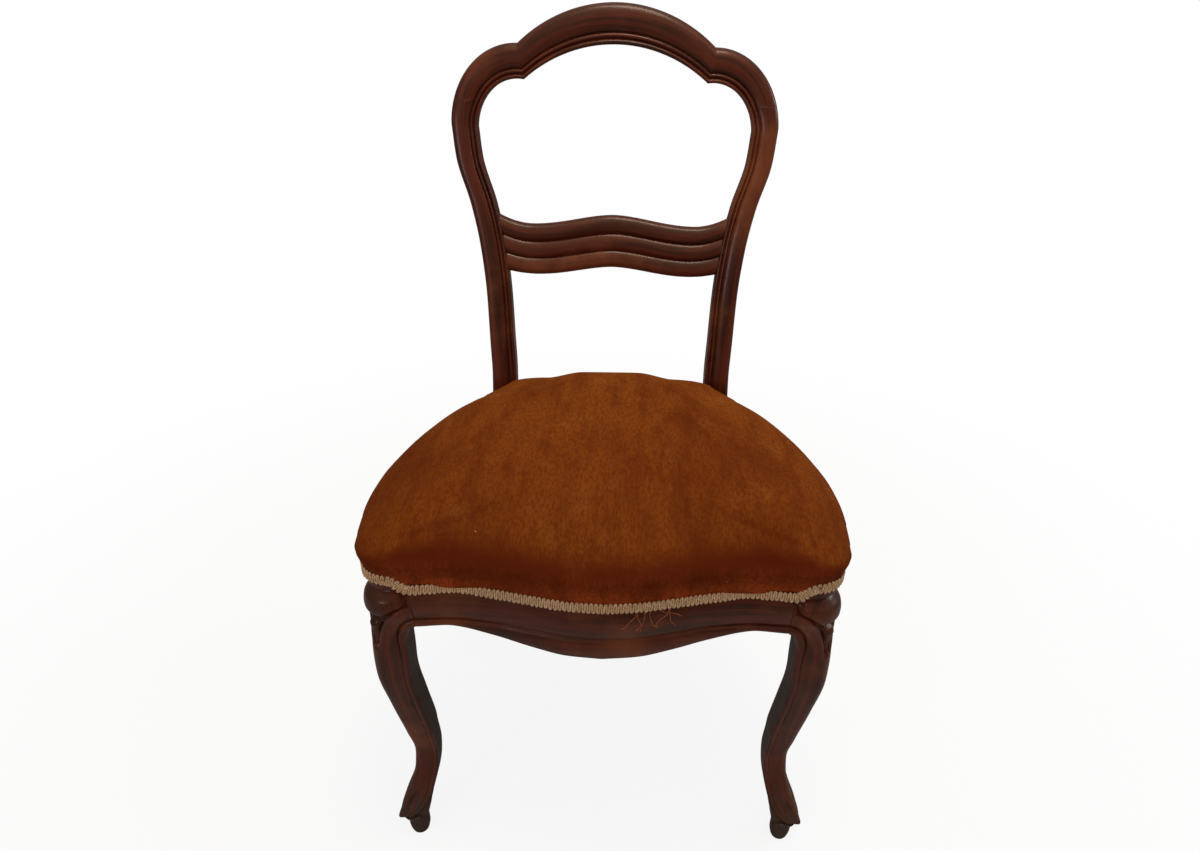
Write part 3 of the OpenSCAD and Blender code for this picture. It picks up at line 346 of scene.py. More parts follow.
def yarn(name, colour, shade):
    # spun cord with fine slanting fibres, and painted shade where the stored value is high, on the band
    # behind the gimp's loops
    f = Finish(name)
    at = f.coords()
    hair = f.noise(f.coords(scale=(1, 1, 0.35), turn=(0.5, 0.4, 0)), 900.0, 2.0, 0.6)
    tone = f.noise(at, 38.0, 3.0, 0.6)
    body = f.blend(hair.between(0.35, 0.7), shade, colour)
    body = f.blend(tone.between(0.5, 0.8) * 0.35, body, shade)
    body = f.blend(f.stored("deepToneAndGapShade") * 0.8, body, "#5a3a20")
    return f.surface(Base_Color=body, Roughness=0.72, Normal=f.relief(hair, 0.5, 0.0004),
                     Sheen_Weight=0.15, Specular_IOR_Level=0.3)


def weave(name, colour, shade, pitch):
    # plain weave: two crossed sets of threads in plan
    f = Finish(name)
    x = f.make("SeparateXYZ", {}, {"Vector": f.coords()})
    y = Value(f, x.socket.node.outputs["Y"])
    across, down = (x * (math.pi / pitch)).sine(), (y * (math.pi / pitch)).sine()
    over = (across * down).between(-0.2, 0.2)
    threads = across.absolute() * over + down.absolute() * (1 - over)
    slub = f.noise(f.coords(), 120.0, 3.0, 0.6)
    body = f.blend(threads * (0.6 + 0.4 * slub), shade, colour)
    return f.surface(Base_Color=body, Roughness=0.9, Normal=f.relief(threads + 0.4 * slub, 0.7, 0.0004))


def plainWood(name, colour, shade):
    f = Finish(name)
    figure = f.noise(f.coords(scale=(1, 14, 14)), 9.0, 5.0, 0.6, 0.4)
    saw = f.noise(f.coords(scale=(90, 4, 4)), 4.0, 2.0)
    body = f.blend(figure.between(0.35, 0.7), shade, colour)
    return f.surface(Base_Color=body, Roughness=0.75, Normal=f.relief(saw + figure, 0.35, 0.0003))


def metal(name, colour, rough):
    f = Finish(name)
    spots = f.noise(f.coords(), 320.0, 4.0, 0.65)
    body = f.blend(spots.between(0.5, 0.75) * 0.5, colour, "#4a3020")
    return f.surface(Base_Color=body, Metallic=1.0, Roughness=rough + 0.25 * spots.between(0.4, 0.8),
                     Normal=f.relief(spots, 0.2, 0.0001))


def loose(name, colour, shade):
    f = Finish(name)
    fibres = f.noise(f.coords(), 150.0, 6.0, 0.75, 1.5)
    body = f.blend(fibres.between(0.35, 0.65), shade, colour)
    return f.surface(Base_Color=body, Roughness=0.95, Normal=f.relief(fibres, 0.9, 0.0015))


finishes = {
    "show_wood": polishedWood("polishedWood"),
    "frame_wood": plainWood("sawnWood", "#9a7248", "#6d4b2c"),
    "pulled": yarn("pulledThread", "#c8703c", "#90481f"),
    "stained": plainWood("stainedWood", "#54261a", "#2c120b"),
    "dowel_wood": plainWood("dowelWood", "#c4a070", "#9b7748"),
    "screw_steel": metal("screwSteel", "#8b8883", 0.4),
    "spring_steel": metal("springWire", "#8d8f92", 0.35),
    "tack_iron": metal("tackIron", "#3a3b40", 0.45),
    "webbing": weave("juteWebbing", "#b0905c", "#6d5431", 0.0021),
    "twine": yarn("juteTwine", "#b8a06c", "#7a6238"),
    "canvas": weave("juteCanvas", "#a98b5b", "#66502f", 0.0014),
    "fibre_stuffing": loose("curledFibre", "#5a4228", "#22170d"),
    "cotton_wadding": loose("cottonWadding", "#e6dcc4", "#b9ad92"),
    "velvet": velvet("rustVelvet"),
    "gimp": yarn("gimpYarn", "#f7d8a8", "#c8945f"),
    "dust_cloth": weave("dustCloth", "#2a2826", "#121110", 0.0009)}
print("finishes made:", len(finishes))


def settle(o, slotName, *nodes):
    o.data.materials.clear()
    o.data.materials.append(finishes[slotName])
    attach(o, "root")
    if nodes:
        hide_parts(*nodes)
    return o


slotOf = {s["node"]: s["material_slot"] for s in frame["record"]["subparts"]}
for nodeName, node in frame["nodes"].items():
    node.data.materials.clear()
    node.data.materials.append(finishes["stained" if nodeName == "rear_rail" else slotOf[nodeName]])

# The back
back = {"shoulderX": 214.5, "shoulderDrop": 143.0, "archX": 127.0, "archRise": 48.0, "crestWidth": 48.0,
        "notchWidth": 43.0, "jointDrop": 115.0, "stileWidth": 34.0, "thickness": 24.0, "postX": 166.0,
        "postY": 143.0, "rake": 14.2, "sweep": 8.0, "splay": 62.0, "waistAbove": 52.0, "crossShare": 0.387}
postX, postY, archX, shoulderX = back["postX"], back["postY"], back["archX"], back["shoulderX"]
waistZ = chair["gimpZ"] + back["waistAbove"]
crossZ = mix(waistZ, topZ, back["crossShare"])
shoulderZ = topZ - back["shoulderDrop"]
jointZ = topZ - back["jointDrop"]
notchZ = topZ - back["archRise"]
archRadius = (archX ** 2 + back["archRise"] ** 2) / (2 * back["archRise"])
innerNotch = (archX - 8, notchZ - back["notchWidth"] + 0.5)
innerRise = topZ - back["crestWidth"] - innerNotch[1]
innerRadius = (innerNotch[0] ** 2 + innerRise ** 2) / (2 * innerRise)
lobe = {"x": archX + 4, "z": shoulderZ, "a": shoulderX - archX - 4, "b": notchZ - 1 - shoulderZ}
innerLobe = {"x": archX, "z": shoulderZ - 7, "a": shoulderX - back["stileWidth"] - 0.5 - archX,
             "b": innerNotch[1] + 0.5 - shoulderZ + 7}
outerSide = smoothLine([(0, postX + 5), (web, postX), (waistZ, postX),
                        (mix(waistZ, crossZ, 0.28), postX + 2.5), (mix(waistZ, crossZ, 0.635), postX + 6),
                        (mix(waistZ, crossZ, 0.967), mix(postX, shoulderX, 0.277)),
                        (mix(crossZ, shoulderZ, 0.312), mix(postX, shoulderX, 0.51)),
                        (mix(crossZ, shoulderZ, 0.708), shoulderX - 5.5), (shoulderZ, shoulderX)])
rearSide = smoothLine([(0, postY + back["splay"]), (topZ * 0.13, postY + back["splay"] * 0.42),
                       (topZ * 0.26, postY + back["splay"] * 0.06), (web, postY - 4), (waistZ, postY)])
# depth of the moulding below the front face, from the outer edge to the inner one
moulding = smoothLine([(0, 9.5), (0.012, 6.4), (0.04, 3.9), (0.09, 1.9), (0.17, 0.6), (0.28, 0.05),
                       (0.37, 0.05), (0.47, 0.5), (0.56, 1.4), (0.635, 2.6), (0.667, 3.5), (0.682, 5.2),
                       (0.7, 5.7), (0.715, 5.0), (0.735, 3.7), (0.77, 3.1), (0.80, 3.5), (0.826, 5.0),
                       (0.845, 6.3), (0.862, 5.9), (0.885, 4.4), (0.92, 3.6), (0.955, 4.0), (0.985, 5.4),
                       (1.0, 8.0)])
plainFace = smoothLine([(0, 2.6), (0.04, 0.8), (0.15, 0), (0.85, 0), (0.96, 0.8), (1, 2.6)])
acrossSteps = [0, 0.012, 0.025, 0.04, 0.06, 0.09, 0.13, 0.17, 0.22, 0.28, 0.34, 0.4, 0.46, 0.52, 0.57,
               0.61, 0.64, 0.66, 0.672, 0.682, 0.69, 0.7, 0.71, 0.72, 0.735, 0.75, 0.77, 0.79, 0.805,
               0.817, 0.828, 0.837, 0.845, 0.853, 0.862, 0.873, 0.885, 0.9, 0.92, 0.94, 0.955, 0.97,
               0.985, 0.993, 1.0]
backEdge = [(1, 6.5), (1, 12), (1, 5.2), (0.99, 2.7), (0.966, 0.9), (0.92, 0), (0.7, 0), (0.5, 0), (0.3, 0),
            (0.08, 0), (0.034, 0.9), (0.01, 2.7), (0, 5.2), (0, 10)]


def backY(z):
    above = z - waistZ
    return (postY + math.tan(math.radians(back["rake"])) * above
            + back["sweep"] * (above / (topZ - waistZ)) ** 2)


def lobeX(shape, z):
    return shape["x"] + shape["a"] * math.sqrt(max(0, 1 - ((z - shape["z"]) / shape["b"]) ** 2))


def lobePoint(shape, angle):
    a = math.radians(angle)
    return shape["x"] + shape["a"] * math.cos(a), shape["z"] + shape["b"] * math.sin(a)


def outerX(z):
    return lobeX(lobe, z) if z >= lobe["z"] else outerSide(z)


def innerX(z):
    if z >= innerLobe["z"]:
        return lobeX(innerLobe, z)
    return outerSide(z) - mix(back["stileWidth"] - 5, back["stileWidth"], ease(0, web, z))


def stileY(z):
    return rearSide(z) if z < waistZ else backY(z)


def stileThickness(z):
    t = back["thickness"]
    return mix(t - 2, t + 5, ease(0, web, z)) - 5 * ease(waistZ, crossZ, z)


def backRing(outer, inner, yAt, thick, amount):
    def point(f, depth):
        x, z = mix(outer[0], inner[0], f), mix(outer[1], inner[1], f)
        return x, yAt(z) + depth, z
    return ([point(f, mix(plainFace(f), moulding(f), amount)) for f in acrossSteps]
            + [point(f, thick - rise) for f, rise in backEdge])


def makeCrest():
    def arcPoint(radius, reach, top, s):
        a = s * math.asin(reach / radius)
        return radius * math.sin(a), top - radius * (1 - math.cos(a))

    def endAngle(shape):
        return math.degrees(math.asin((jointZ - shape["z"]) / shape["b"]))
    low = topZ - back["crestWidth"]
    half = [(arcPoint(archRadius, archX, topZ, s),
             arcPoint(innerRadius, innerNotch[0], low, s)) for s in spread(0, 1, 40)]
    half += [(lobePoint(lobe, mix(92, endAngle(lobe), s)),
              lobePoint(innerLobe, mix(98, endAngle(innerLobe), s))) for s in [0.0] + spread(0.02, 1, 34)]
    stations = [((-o[0], o[1]), (-i[0], i[1])) for o, i in reversed(half[1:])] + half
    rings = [backRing(o, i, backY, back["thickness"], 1) for o, i in stations]
    return ringsToMesh("crestRail", rings, chamfer=0.35, sharp=30)


def makeStile():
    rings = []
    for z in spread(0, 300, 46) + spread(306, 460, 30) + spread(464, jointZ, 100):
        amount = ease(chair["gimpZ"] + 20, waistZ + 8, z)
        rings.append(backRing((outerX(z), z), (innerX(z), z), stileY, stileThickness(z), amount))
    return ringsToMesh("rightStile", rings, chamfer=0.35, sharp=30)


crossRail = {"height": 66.0, "wave": 12.5, "thickness": 15.0, "setBack": 5.0, "reeds": 3, "reedDepth": 4.6,
             "low": 105.0}


def makeCrossRail():
    def rise(x, share, end):
        a = abs(x)
        if a < crossRail["low"]:
            return share * crossRail["wave"] * math.sin(math.pi / 2 * a / crossRail["low"]) ** 1.7
        return crossRail["wave"] * (share - end * ((a - crossRail["low"]) / 46) ** 2)

    # each reed is a little fuller towards its foot
    reedSteps = 14
    count = reedSteps * crossRail["reeds"]
    face = [(0, crossRail["reedDepth"] + 3.0)]
    for k in range(count + 1):
        g = (k % reedSteps) / reedSteps if k < count else 1.0
        swell = math.sin(math.pi * g) ** 0.62 * (1 + 0.14 * (g - 0.5)) if 0 < g < 1 else 0.0
        face.append((0.012 + 0.976 * k / count, crossRail["reedDepth"] * (1 - swell)))
    face.append((1, crossRail["reedDepth"] + 3.0))
    face += [(f, d / 15 * crossRail["thickness"]) for f, d in (
        (1, 11), (0.985, 14), (0.95, 15), (0.7, 15), (0.5, 15), (0.3, 15), (0.05, 15), (0.015, 14), (0, 11))]
    rings = []
    for s in spread(-1, 1, 121):
        x0 = s * innerX(crossZ)
        top = crossZ + crossRail["height"] / 2 - rise(x0, 1.0, 1.2)
        low = crossZ - crossRail["height"] / 2 - rise(x0, 0.84, 0.45)
        bow = crossRail["setBack"] + 3 * (1 - s * s)
        rings.append([(s * (innerX(z) + 0.6), backY(z) + bow + depth, z)
                      for f, depth in face for z in [mix(top, low, f)]])
    return ringsToMesh("crossRail", rings, sharp=34)


# The seat frame
cornerRadius = 32.0
cornerMiddle = edge - cornerRadius
seat = {"bowY": -262.0, "wingY": -239.0, "frontInner": -213.0, "sideThickness": 26.0, "frontRise": 4.0,
        "kneeRise": 13.0}
bowY, wingY = seat["bowY"], seat["wingY"]
frontLine = smoothLine([(0, bowY), (32, bowY + 2.5), (77, mix(bowY, wingY, 0.52)),
                        (111, mix(bowY, wingY, 0.85)), (150, wingY), (headX, -edge + 1.5),
                        (cornerMiddle, -edge)])
sideLine = smoothLine([(-cornerMiddle, edge), (-headX, edge + 1.5), (-150, 250),
                       (-100, 248.5), (-30, 236), (30, 216), (75, 195), (postY - 8, postX + 3),
                       (postY + 20, postX - 4)])
railUpper = smoothLine([(0, -3.8), (0.03, -2.2), (0.07, -1.3), (0.13, -0.3), (0.24, 1.1), (0.38, 1.8),
                        (0.52, 1.7), (0.7, 0.7), (0.84, -0.6), (0.93, -1.7), (0.97, -2.6), (0.988, -4.2),
                        (1, -4.6)])
railLower = smoothLine([(0, -4.6), (0.04, -3.9), (0.1, -2.3), (0.2, -0.9), (0.35, 0.0), (0.5, 0.2),
                        (0.66, -0.2), (0.8, -1.2), (0.9, -2.4), (0.96, -3.8), (1, -5.6)])
railBottom = smoothLine([(0, web - 23.5), (42, web - 22.3), (60, web - 20.5), (103, web - 13.5),
                         (124, web - 8.5), (144, web - 3.5), (164, web + 0.3), (headX, web + 1)])
sideBottom = smoothLine([(-headX, web + 1), (-140, web - 3), (-40, web - 8), (60, web - 6),
                         (postY + 20, web - 2)])
upperSteps = [0, 0.03, 0.07, 0.13, 0.2, 0.28, 0.38, 0.48, 0.58, 0.68, 0.77, 0.85, 0.91, 0.95, 0.97, 0.98,
              0.988, 0.995, 1]
lowerSteps = [0.02, 0.05, 0.1, 0.16, 0.24, 0.34, 0.44, 0.54, 0.64, 0.73, 0.81, 0.88, 0.93, 0.965, 0.99, 1]


def lift(x, y):
    # the gimp rises towards the ends of the front rail and again over the knees
    overKnee = ease(headX + 2, cornerMiddle, abs(x)) * ease(headX + 2, cornerMiddle, -y)
    return seat["frontRise"] * ease(105, 150, abs(x)) * ease(120, 180, -y) + seat["kneeRise"] * overKnee


def sideNormal(y):
    d = (sideLine(y + 1) - sideLine(y - 1)) / 2
    n = math.hypot(1, d)
    return 1 / n, -d / n


def railRing(put, top, groove, bottom, depth):
    ring = [put(-3.8, seatZ), put(-3.8, top + 8)]
    ring += [put(railUpper(t), mix(top, groove, t)) for t in upperSteps]
    ring += [put(railLower(t), mix(groove, bottom, t)) for t in lowerSteps]
    ring += [put(-8, bottom - 0.2), put(-9.6, bottom + 0.6), put(-10, bottom + 2), put(-10, web)]
    ring += [put(-mix(10, depth, 0.5), web), put(-depth, web), put(-depth, web + 26), put(-depth, web + 51),
             put(-depth, seatZ), put(-mix(3.8, depth, 0.5), seatZ)]
    return ring


def railGroove(distance):
    return web + 4 + 5.5 * (distance / 160) ** 2


def makeFrontRail():
    rings = []
    for x in spread(-headX + 0.1, headX - 0.1, 171):
        y = frontLine(abs(x))
        rings.append(railRing(lambda d, z: (x, y - d, z), gimpLow + lift(x, y), railGroove(x),
                              railBottom(abs(x)), seat["frontInner"] - y))
    return ringsToMesh("frontRail", rings, chamfer=0.3, sharp=34)


def makeSideRail():
    def sideY(z, share):
        return mix(-headX + 0.1, stileY(z) - 0.45, share)
    rings = []
    for share in spread(0, 1, 90):
        def put(d, z):
            y = sideY(z, share)
            return sideLine(y) + sideNormal(y)[0] * d, y, z
        y0 = sideY(web, share)
        rings.append(railRing(put, gimpLow + lift(sideLine(y0), y0), railGroove(clamp(-y0, 0, 192)),
                              sideBottom(y0), seat["sideThickness"]))
    return ringsToMesh("rightSideRail", rings, chamfer=0.3, sharp=34)


# Front legs
leg = {"knee": 39.0, "ankle": 28.0, "ankleIn": 22.0, "ankleZ": 119.0, "toeZ": 28.0, "kneeRadius": 62.0,
       "panel": 42.0, "lobe": 7.0, "archHeight": 26.0, "beadLow": 6.2, "beadHigh": 10.5, "padRadius": 12.5,
       "padIn": 5.0, "padOut": 9.0}
kneeZ = gimpLow - leg["kneeRadius"] - 12
archZ = web + 1 - leg["archHeight"]
toeZ, ankleZ, inset = leg["toeZ"], leg["ankleZ"], leg["ankleIn"]
knee, ankle = leg["knee"], leg["ankle"]
legLine = smoothLine([(0, edge - 6), (toeZ - 5, edge - 5), (toeZ, edge - 0.5), (toeZ + 17, edge - 5.5),
                      (mix(toeZ, ankleZ, 0.45), edge - 0.7 * inset), (mix(toeZ, ankleZ, 0.74), edge - inset),
                      (ankleZ, edge - inset - 1.5), (ankleZ + 34, edge - 0.84 * inset),
                      (ankleZ + 92, edge - 0.4 * inset), (ankleZ + 146, edge - 0.06 * inset),
                      (gimpLow - 77, edge - 0.5), (gimpLow - 50, edge - 0.5), (gimpLow - 34, edge + 1),
                      (gimpLow - 20, edge + 5), (gimpLow - 8, edge + 4.5), (gimpLow + 2, edge + 1),
                      (seatZ, edge + 1)])
sizeLine = smoothLine([(0, ankle - 2), (toeZ - 1, ankle + 1), (toeZ + 0.5, ankle + 7),
                       (toeZ + 9, ankle + 6.5), (toeZ + 40, ankle + 1.4), (ankleZ, ankle),
                       (ankleZ + 48, mix(ankle, knee, 0.42)), (ankleZ + 113, mix(ankle, knee, 0.7)),
                       (gimpLow - 81, knee), (seatZ, knee)])
arrisLine = smoothLine([(0, 12), (toeZ - 5, 12), (toeZ, 3), (toeZ + 30, 5), (ankleZ, 8), (gimpLow - 115, 10),
                        (gimpLow - 60, 17), (gimpLow - 30, cornerRadius - 5), (gimpLow, cornerRadius),
                        (seatZ, cornerRadius)])
# setback of the carved knee by height: small lobe, notch, large lobe, and the hollow under the gimp
lobeLine = smoothLine([(kneeZ - 2, 0), (gimpLow - 57, 0), (gimpLow - 48, -0.3), (gimpLow - 41, -0.42),
                       (gimpLow - 36, 0.05), (gimpLow - 33, 0.8), (gimpLow - 31, 1), (gimpLow - 28.5, 0.62),
                       (gimpLow - 22, 0.14), (gimpLow - 14, 0), (gimpLow - 6, 0.12), (gimpLow, 0.5),
                       (gimpLow + 3.5, 1), (gimpLow + 6, 0.5), (gimpLow + 9, 0.15), (seatZ, 0.1)])
# the roll along the inner edge by its share of the roll's width, and the face beyond it in millimetres
rollLine = smoothLine([(0, 5.0), (0.05, 3.4), (0.12, 2.0), (0.25, 0.8), (0.42, 0.2), (0.58, 0.1),
                       (0.72, 0.5), (0.84, 1.5), (0.93, 2.8), (1, 3.6)])
faceLine = smoothLine([(0, 3.6), (0.5, 2.6), (1.5, 1.6), (3.5, 0.7), (7, 0.15), (12, 0), (200, 0)])


def legInner(z):
    low = legLine(z) - sizeLine(z)
    if z >= web + 1:
        return headX
    if z <= archZ:
        return low
    return mix(headX, low, math.sqrt(max(0, 1 - ((z - archZ) / leg["archHeight"]) ** 2)))


innerEdge = np.array([(legInner(z), z) for z in spread(0, web + 1, 500)]
                     + [(x, web + 1) for x in spread(headX, headX - 60, 60)])


def railDepth(distance):
    # the rails' moulding, measured from their lower edge
    if distance < leg["beadHigh"]:
        return -railLower(1 - distance / leg["beadHigh"])
    return -railUpper(clamp(1 - (distance - leg["beadHigh"]) / 30))


def legHalf(z, plane, samples):
    # front half of the leg's section, from its inner edge to the middle of its outer corner
    e, r, xi = legLine(z), arrisLine(z), legInner(z)
    flat = e - r - xi
    total = flat + r * math.pi / 4
    start = (total - 12) * (1 - (1 - clamp(1 - (z - toeZ) / 36) ** 1.6) ** 0.625)
    rise = clamp((z - kneeZ) / leg["kneeRadius"])
    rim = max(5, min(total - 2, headX + leg["panel"] * math.sqrt(max(0, 1 - rise * rise)) - xi))
    width = mix(leg["beadLow"], leg["beadHigh"], ease(archZ - 20, web + 6, z))
    sink = mix(0.4, 1, ease(archZ - 30, web, z))
    half, marks = [], []
    for share in samples:
        s = mix(0.3, total, share)
        reach = np.hypot(innerEdge[:, 0] - xi - s, innerEdge[:, 1] - z).min() if z > 60 else s
        u = reach - start
        if z < toeZ:
            depth, wearAndReflection = 0.0, 0.8
        elif u < 0:
            depth, wearAndReflection = 5.0, 0.75 * ease(0, -3, u)
        else:
            # the lower leg is greyed where shoes and brooms have rubbed it
            wearAndReflection = 0.55 * (1 - ease(toeZ, toeZ + 95, z))
            depth = rollLine(u / width) if u < width else faceLine(u - width)
            if u >= width * 0.5:
                depth *= sink
            if z < toeZ + 40:
                depth += bump(total - 20, total - 2.5, s) * 5 * bump(toeZ + 2, toeZ + 40, z)
                depth += 2.5 * clamp(1 - (z - toeZ) / 4) ** 2
            if z > archZ - 4:
                # near the joint the face lies flush with the rail and carries on its moulding
                own = max(ease(headX, headX + 22, xi + s), 1 - ease(archZ - 4, archZ + 20, z))
                depth = mix(e - plane + railDepth(reach), depth, own)
        if z > kneeZ:
            near = rim - s
            lip = ease(0, 0.16, rise)
            if near > 0:
                depth += lip * (2.6 * (1 - ease(0, 4.2, near)) ** 1.5 + 0.7 * bump(5.5, 12, near))
            else:
                lobes = leg["lobe"] * lobeLine(z) * ease(0, 6, -near)
                depth += lip * (1.2 + 4.6 * (1 - ease(0, 9, -near)) + lobes)
        a, c = max(0, s - flat) / r, e - r
        x = xi + s if s < flat else c + r * math.sin(a)
        y = -c - r * math.cos(a)
        if z > gimpLow - 1:
            depth = max(depth, 4.8 * ease(-1, 1, z - gimpLow - lift(x, y)))
        half.append((x - depth * math.sin(a), y + depth * math.cos(a)))
        marks.append(wearAndReflection)
    # the inner faces take the full mark: there it is a painted olive-brown reflection, not wear
    y = half[0][1]
    inside = [(xi + 0.3, mix(y + 6, -xi, 0.75)), (xi, mix(y + 6, -xi, 0.5)), (xi, mix(y + 6, -xi, 0.25)),
              (xi, y + 6), (xi, y + 3), (xi, y + 1.2)]
    return inside + half, [1.0] * 5 + [0.5] + marks


def legRing(z):
    samples = [0.27 * k / 26 for k in range(26)] + spread(0.27, 1, 44)
    if z < toeZ + 60:
        samples = spread(0, 1, 70)
    first, firstMarks = legHalf(z, -frontLine(headX), samples)
    second, secondMarks = legHalf(z, sideLine(-headX), samples)
    turned = [(-y, -x) for x, y in reversed(second[:-1])]
    xi = legInner(z)
    ring = first + turned + [(xi + 0.8, -xi - 0.8)]
    if z < toeZ:
        # the pad under the toe is round, and rounded over where it meets the floor
        middle = (legLine(z) + xi) / 2
        radius = leg["padRadius"] - 4 * clamp(1 - z / 14) ** 2 - 1.5 * clamp(1 - z / 3) ** 2
        low = 1 - 0.6 * z / toeZ
        padX, padY = middle - leg["padIn"] * low, -middle - leg["padOut"] * low
        ring = [(padX + (x - middle) * cut, padY + (y + middle) * cut)
                for x, y in ring for cut in [min(1, radius / max(1e-3, math.hypot(x - middle, y + middle)))]]
    return [(x, y, z) for x, y in ring], firstMarks + list(reversed(secondMarks[:-1])) + [1.0]


def makeLeg():
    levels = [0, 0.5, 1.2, 2.2, 3.4, 5, 8, 12, 17, 22, 25.5, 27.2, 27.9] + spread(toeZ, toeZ + 48, 52)
    levels += spread(toeZ + 49, 257, 76) + spread(259, archZ - 11, 20)
    levels += spread(archZ - 10, gimpLow + 22, 126) + [seatZ - 3, seatZ]
    rings, marks = zip(*[legRing(z) for z in levels])
    return ringsToMesh("rightFrontLeg", rings, marks, sharp=42)


def settlePair(right, name, node):
    settle(mirrored(right, "left" + name), "show_wood", "left_" + node)
    settle(right, "show_wood", "right_" + node)


settle(makeCrest(), "show_wood", "crest_rail")
settlePair(makeStile(), "Stile", "stile")
settle(makeCrossRail(), "show_wood", "cross_rail")
print("back made")
settle(makeFrontRail(), "show_wood", "front_rail")
settlePair(makeSideRail(), "SideRail", "side_rail")
settlePair(makeLeg(), "FrontLeg", "front_leg")
print("frame made")

# The cushion, where the cover stands over the stuffing's solid
cushion = {"crown": 481.5, "rim": 416.0, "overhang": 10.6, "rimFall": 5.8, "middle": (0.0, -17.0),
           "cornerTuck": 2.5, "sideSwell": 2.8, "pressure": 4.0, "cap": 2.5, "voxel": 0.0045,
           "thickness": 0.0015, "frames": 20, "gap": 0.6, "hollows": 9, "seed": 7}
pleats = ((0.0, 1.8, 3.2), (0.2, 1.0, 3.0), (-0.2, 1.1, 3.0))  # angle, depth and width of each
rearEdge = postY + 29.5


def seatPlan():
    # right half of the seat's outline with outward normals, from the front's middle to the rear's middle
    half = [(x, frontLine(x), 0.0, -1.0) for x in spread(0, headX + 20, 44)]
    for a in spread(0, math.pi / 2, 12):
        nx, ny = math.sin(a), -math.cos(a)
        half.append((cornerMiddle + cornerRadius * nx, -cornerMiddle + cornerRadius * ny, nx, ny))
    for y in spread(-200, postY - 10, 56):
        nx, ny = sideNormal(y)
        half.append((sideLine(y), y, nx, ny))
    turn = [(postX - 8, rearEdge - 4, 0.5, 0.86), (postX - 22, rearEdge - 1, 0.2, 0.98)]
    half += turn + [(x, rearEdge, 0.0, 1.0) for x in spread(postX - 40, 0, 22)]
    return half + [(-x, y, -nx, ny) for x, y, nx, ny in reversed(half[1:-1])]


plan = seatPlan()


def planRing(out, z, climb=0.0, tucked=0.0):
    ring = []
    for x, y, nx, ny in plan:
        tuck = cushion["cornerTuck"] * ease(180, 232, min(abs(x), -y)) * (1 + 2 * abs(nx * ny))
        tuck -= cushion["sideSwell"] * ease(-headX, -120, y) * abs(nx)
        o = out - tucked * tuck
        ring.append((x + nx * o, y + ny * o, z + climb * lift(x, y)))
    return ring


def domeRing(share, out, rim, crown):
    cx, cy = cushion["middle"]
    ring = []
    for x, y, z in planRing(out, 0, 0, 1):
        base = rim - cushion["rimFall"] * (y + 260) / 400
        # the edge is less full beside the stiles
        soft = ease(50, 130, abs(x)) * ease(60, rearEdge, y)
        ring.append((cx + share * (x - cx), cy + share * (y - cy),
                     base + (crown - base) * (1 - share ** 2.42) ** (0.67 + 0.4 * soft)))
    return ring


def makeCushion():
    hem = ((-0.4, 1.5, 1, 0), (0.3, 8, 1, 0), (1.6, 14.5, 1, 0), (3.1, 20, 0.8, 0.1), (4.9, 26, 0.5, 0.3),
           (7.1, 32, 0.3, 0.6), (8.9, 38, 0.1, 0.9))
    shares = [1, 0.996, 0.99, 0.98, 0.965, 0.945, 0.92, 0.89, 0.855, 0.815, 0.77, 0.72, 0.665, 0.605, 0.54,
              0.47, 0.4, 0.32, 0.24, 0.16, 0.08]
    rings = [planRing(out, gimpLow + above, climb, tucked) for out, above, climb, tucked in hem]
    rings += [domeRing(s, cushion["overhang"], cushion["rim"], cushion["crown"]) for s in shares]
    n, last = len(plan), (len(rings) - 1) * len(plan)
    verts = [p for r in rings for p in r] + [(*cushion["middle"], cushion["crown"])]
    faces = skinFaces(len(rings), n) + [[last + i, last + (i + 1) % n, len(verts) - 1] for i in range(n)]
    me = newMesh("velvetCover", verts, faces + [list(range(n - 1, -1, -1))])
    finishMesh(me, 180)
    return addObject("velvetCover", me)


def evaluated(o):
    graph = bpy.context.evaluated_depsgraph_get()
    return bpy.data.meshes.new_from_object(o.evaluated_get(graph), depsgraph=graph)


def applyModifiers(o):
    old, me = o.data, evaluated(o)
    o.modifiers.clear()
    o.data = me
    bpy.data.meshes.remove(old)
    me.name = o.name


def addModifier(o, kind, **settings):
    modifier = o.modifiers.new(kind.lower(), kind)
    for key, value in settings.items():
        setattr(modifier, key, value)
    return modifier


def puff(o):
    # the cover is blown up a little as cloth over its stuffing, held at the hem
    start = vertexPlaces(o.data)
    held = o.vertex_groups.new(name="held")
    low, high = (gimpLow + 19) * 0.001, (gimpLow + 36) * 0.001
    for k, p in enumerate(start):
        weight = 1 - clamp((p[2] - low) / (high - low))
        if weight > 0:
            held.add([k], weight, "REPLACE")
    cloth = addModifier(o, "CLOTH")
    cloth.settings.quality = 5
    cloth.settings.vertex_group_mass = "held"
    cloth.settings.use_pressure = True
    cloth.settings.uniform_pressure_force = cushion["pressure"]
    cloth.settings.effector_weights.gravity = 0
    cloth.point_cache.frame_start, cloth.point_cache.frame_end = 1, cushion["frames"]
    scene = bpy.context.scene
    for f in range(1, cushion["frames"] + 1):
        scene.frame_set(f)
    move = vertexPlaces(o.evaluated_get(bpy.context.evaluated_depsgraph_get()).to_mesh()) - start
    normals = np.array([v.normal[:] for v in o.data.vertices])
    move -= normals * np.minimum(0, (move * normals).sum(axis=1, keepdims=True))
    size = np.linalg.norm(move, axis=1, keepdims=True)
    move *= np.minimum(1, cushion["cap"] * 0.001 / np.maximum(size, 1e-9))
    o.modifiers.clear()
    scene.frame_set(1)
    o.data.vertices.foreach_set("co", (start + move).ravel())
    o.data.update()
    o.vertex_groups.clear()
    print("cover blown up, largest move mm:", round(float(size.max()) * 1000, 2))


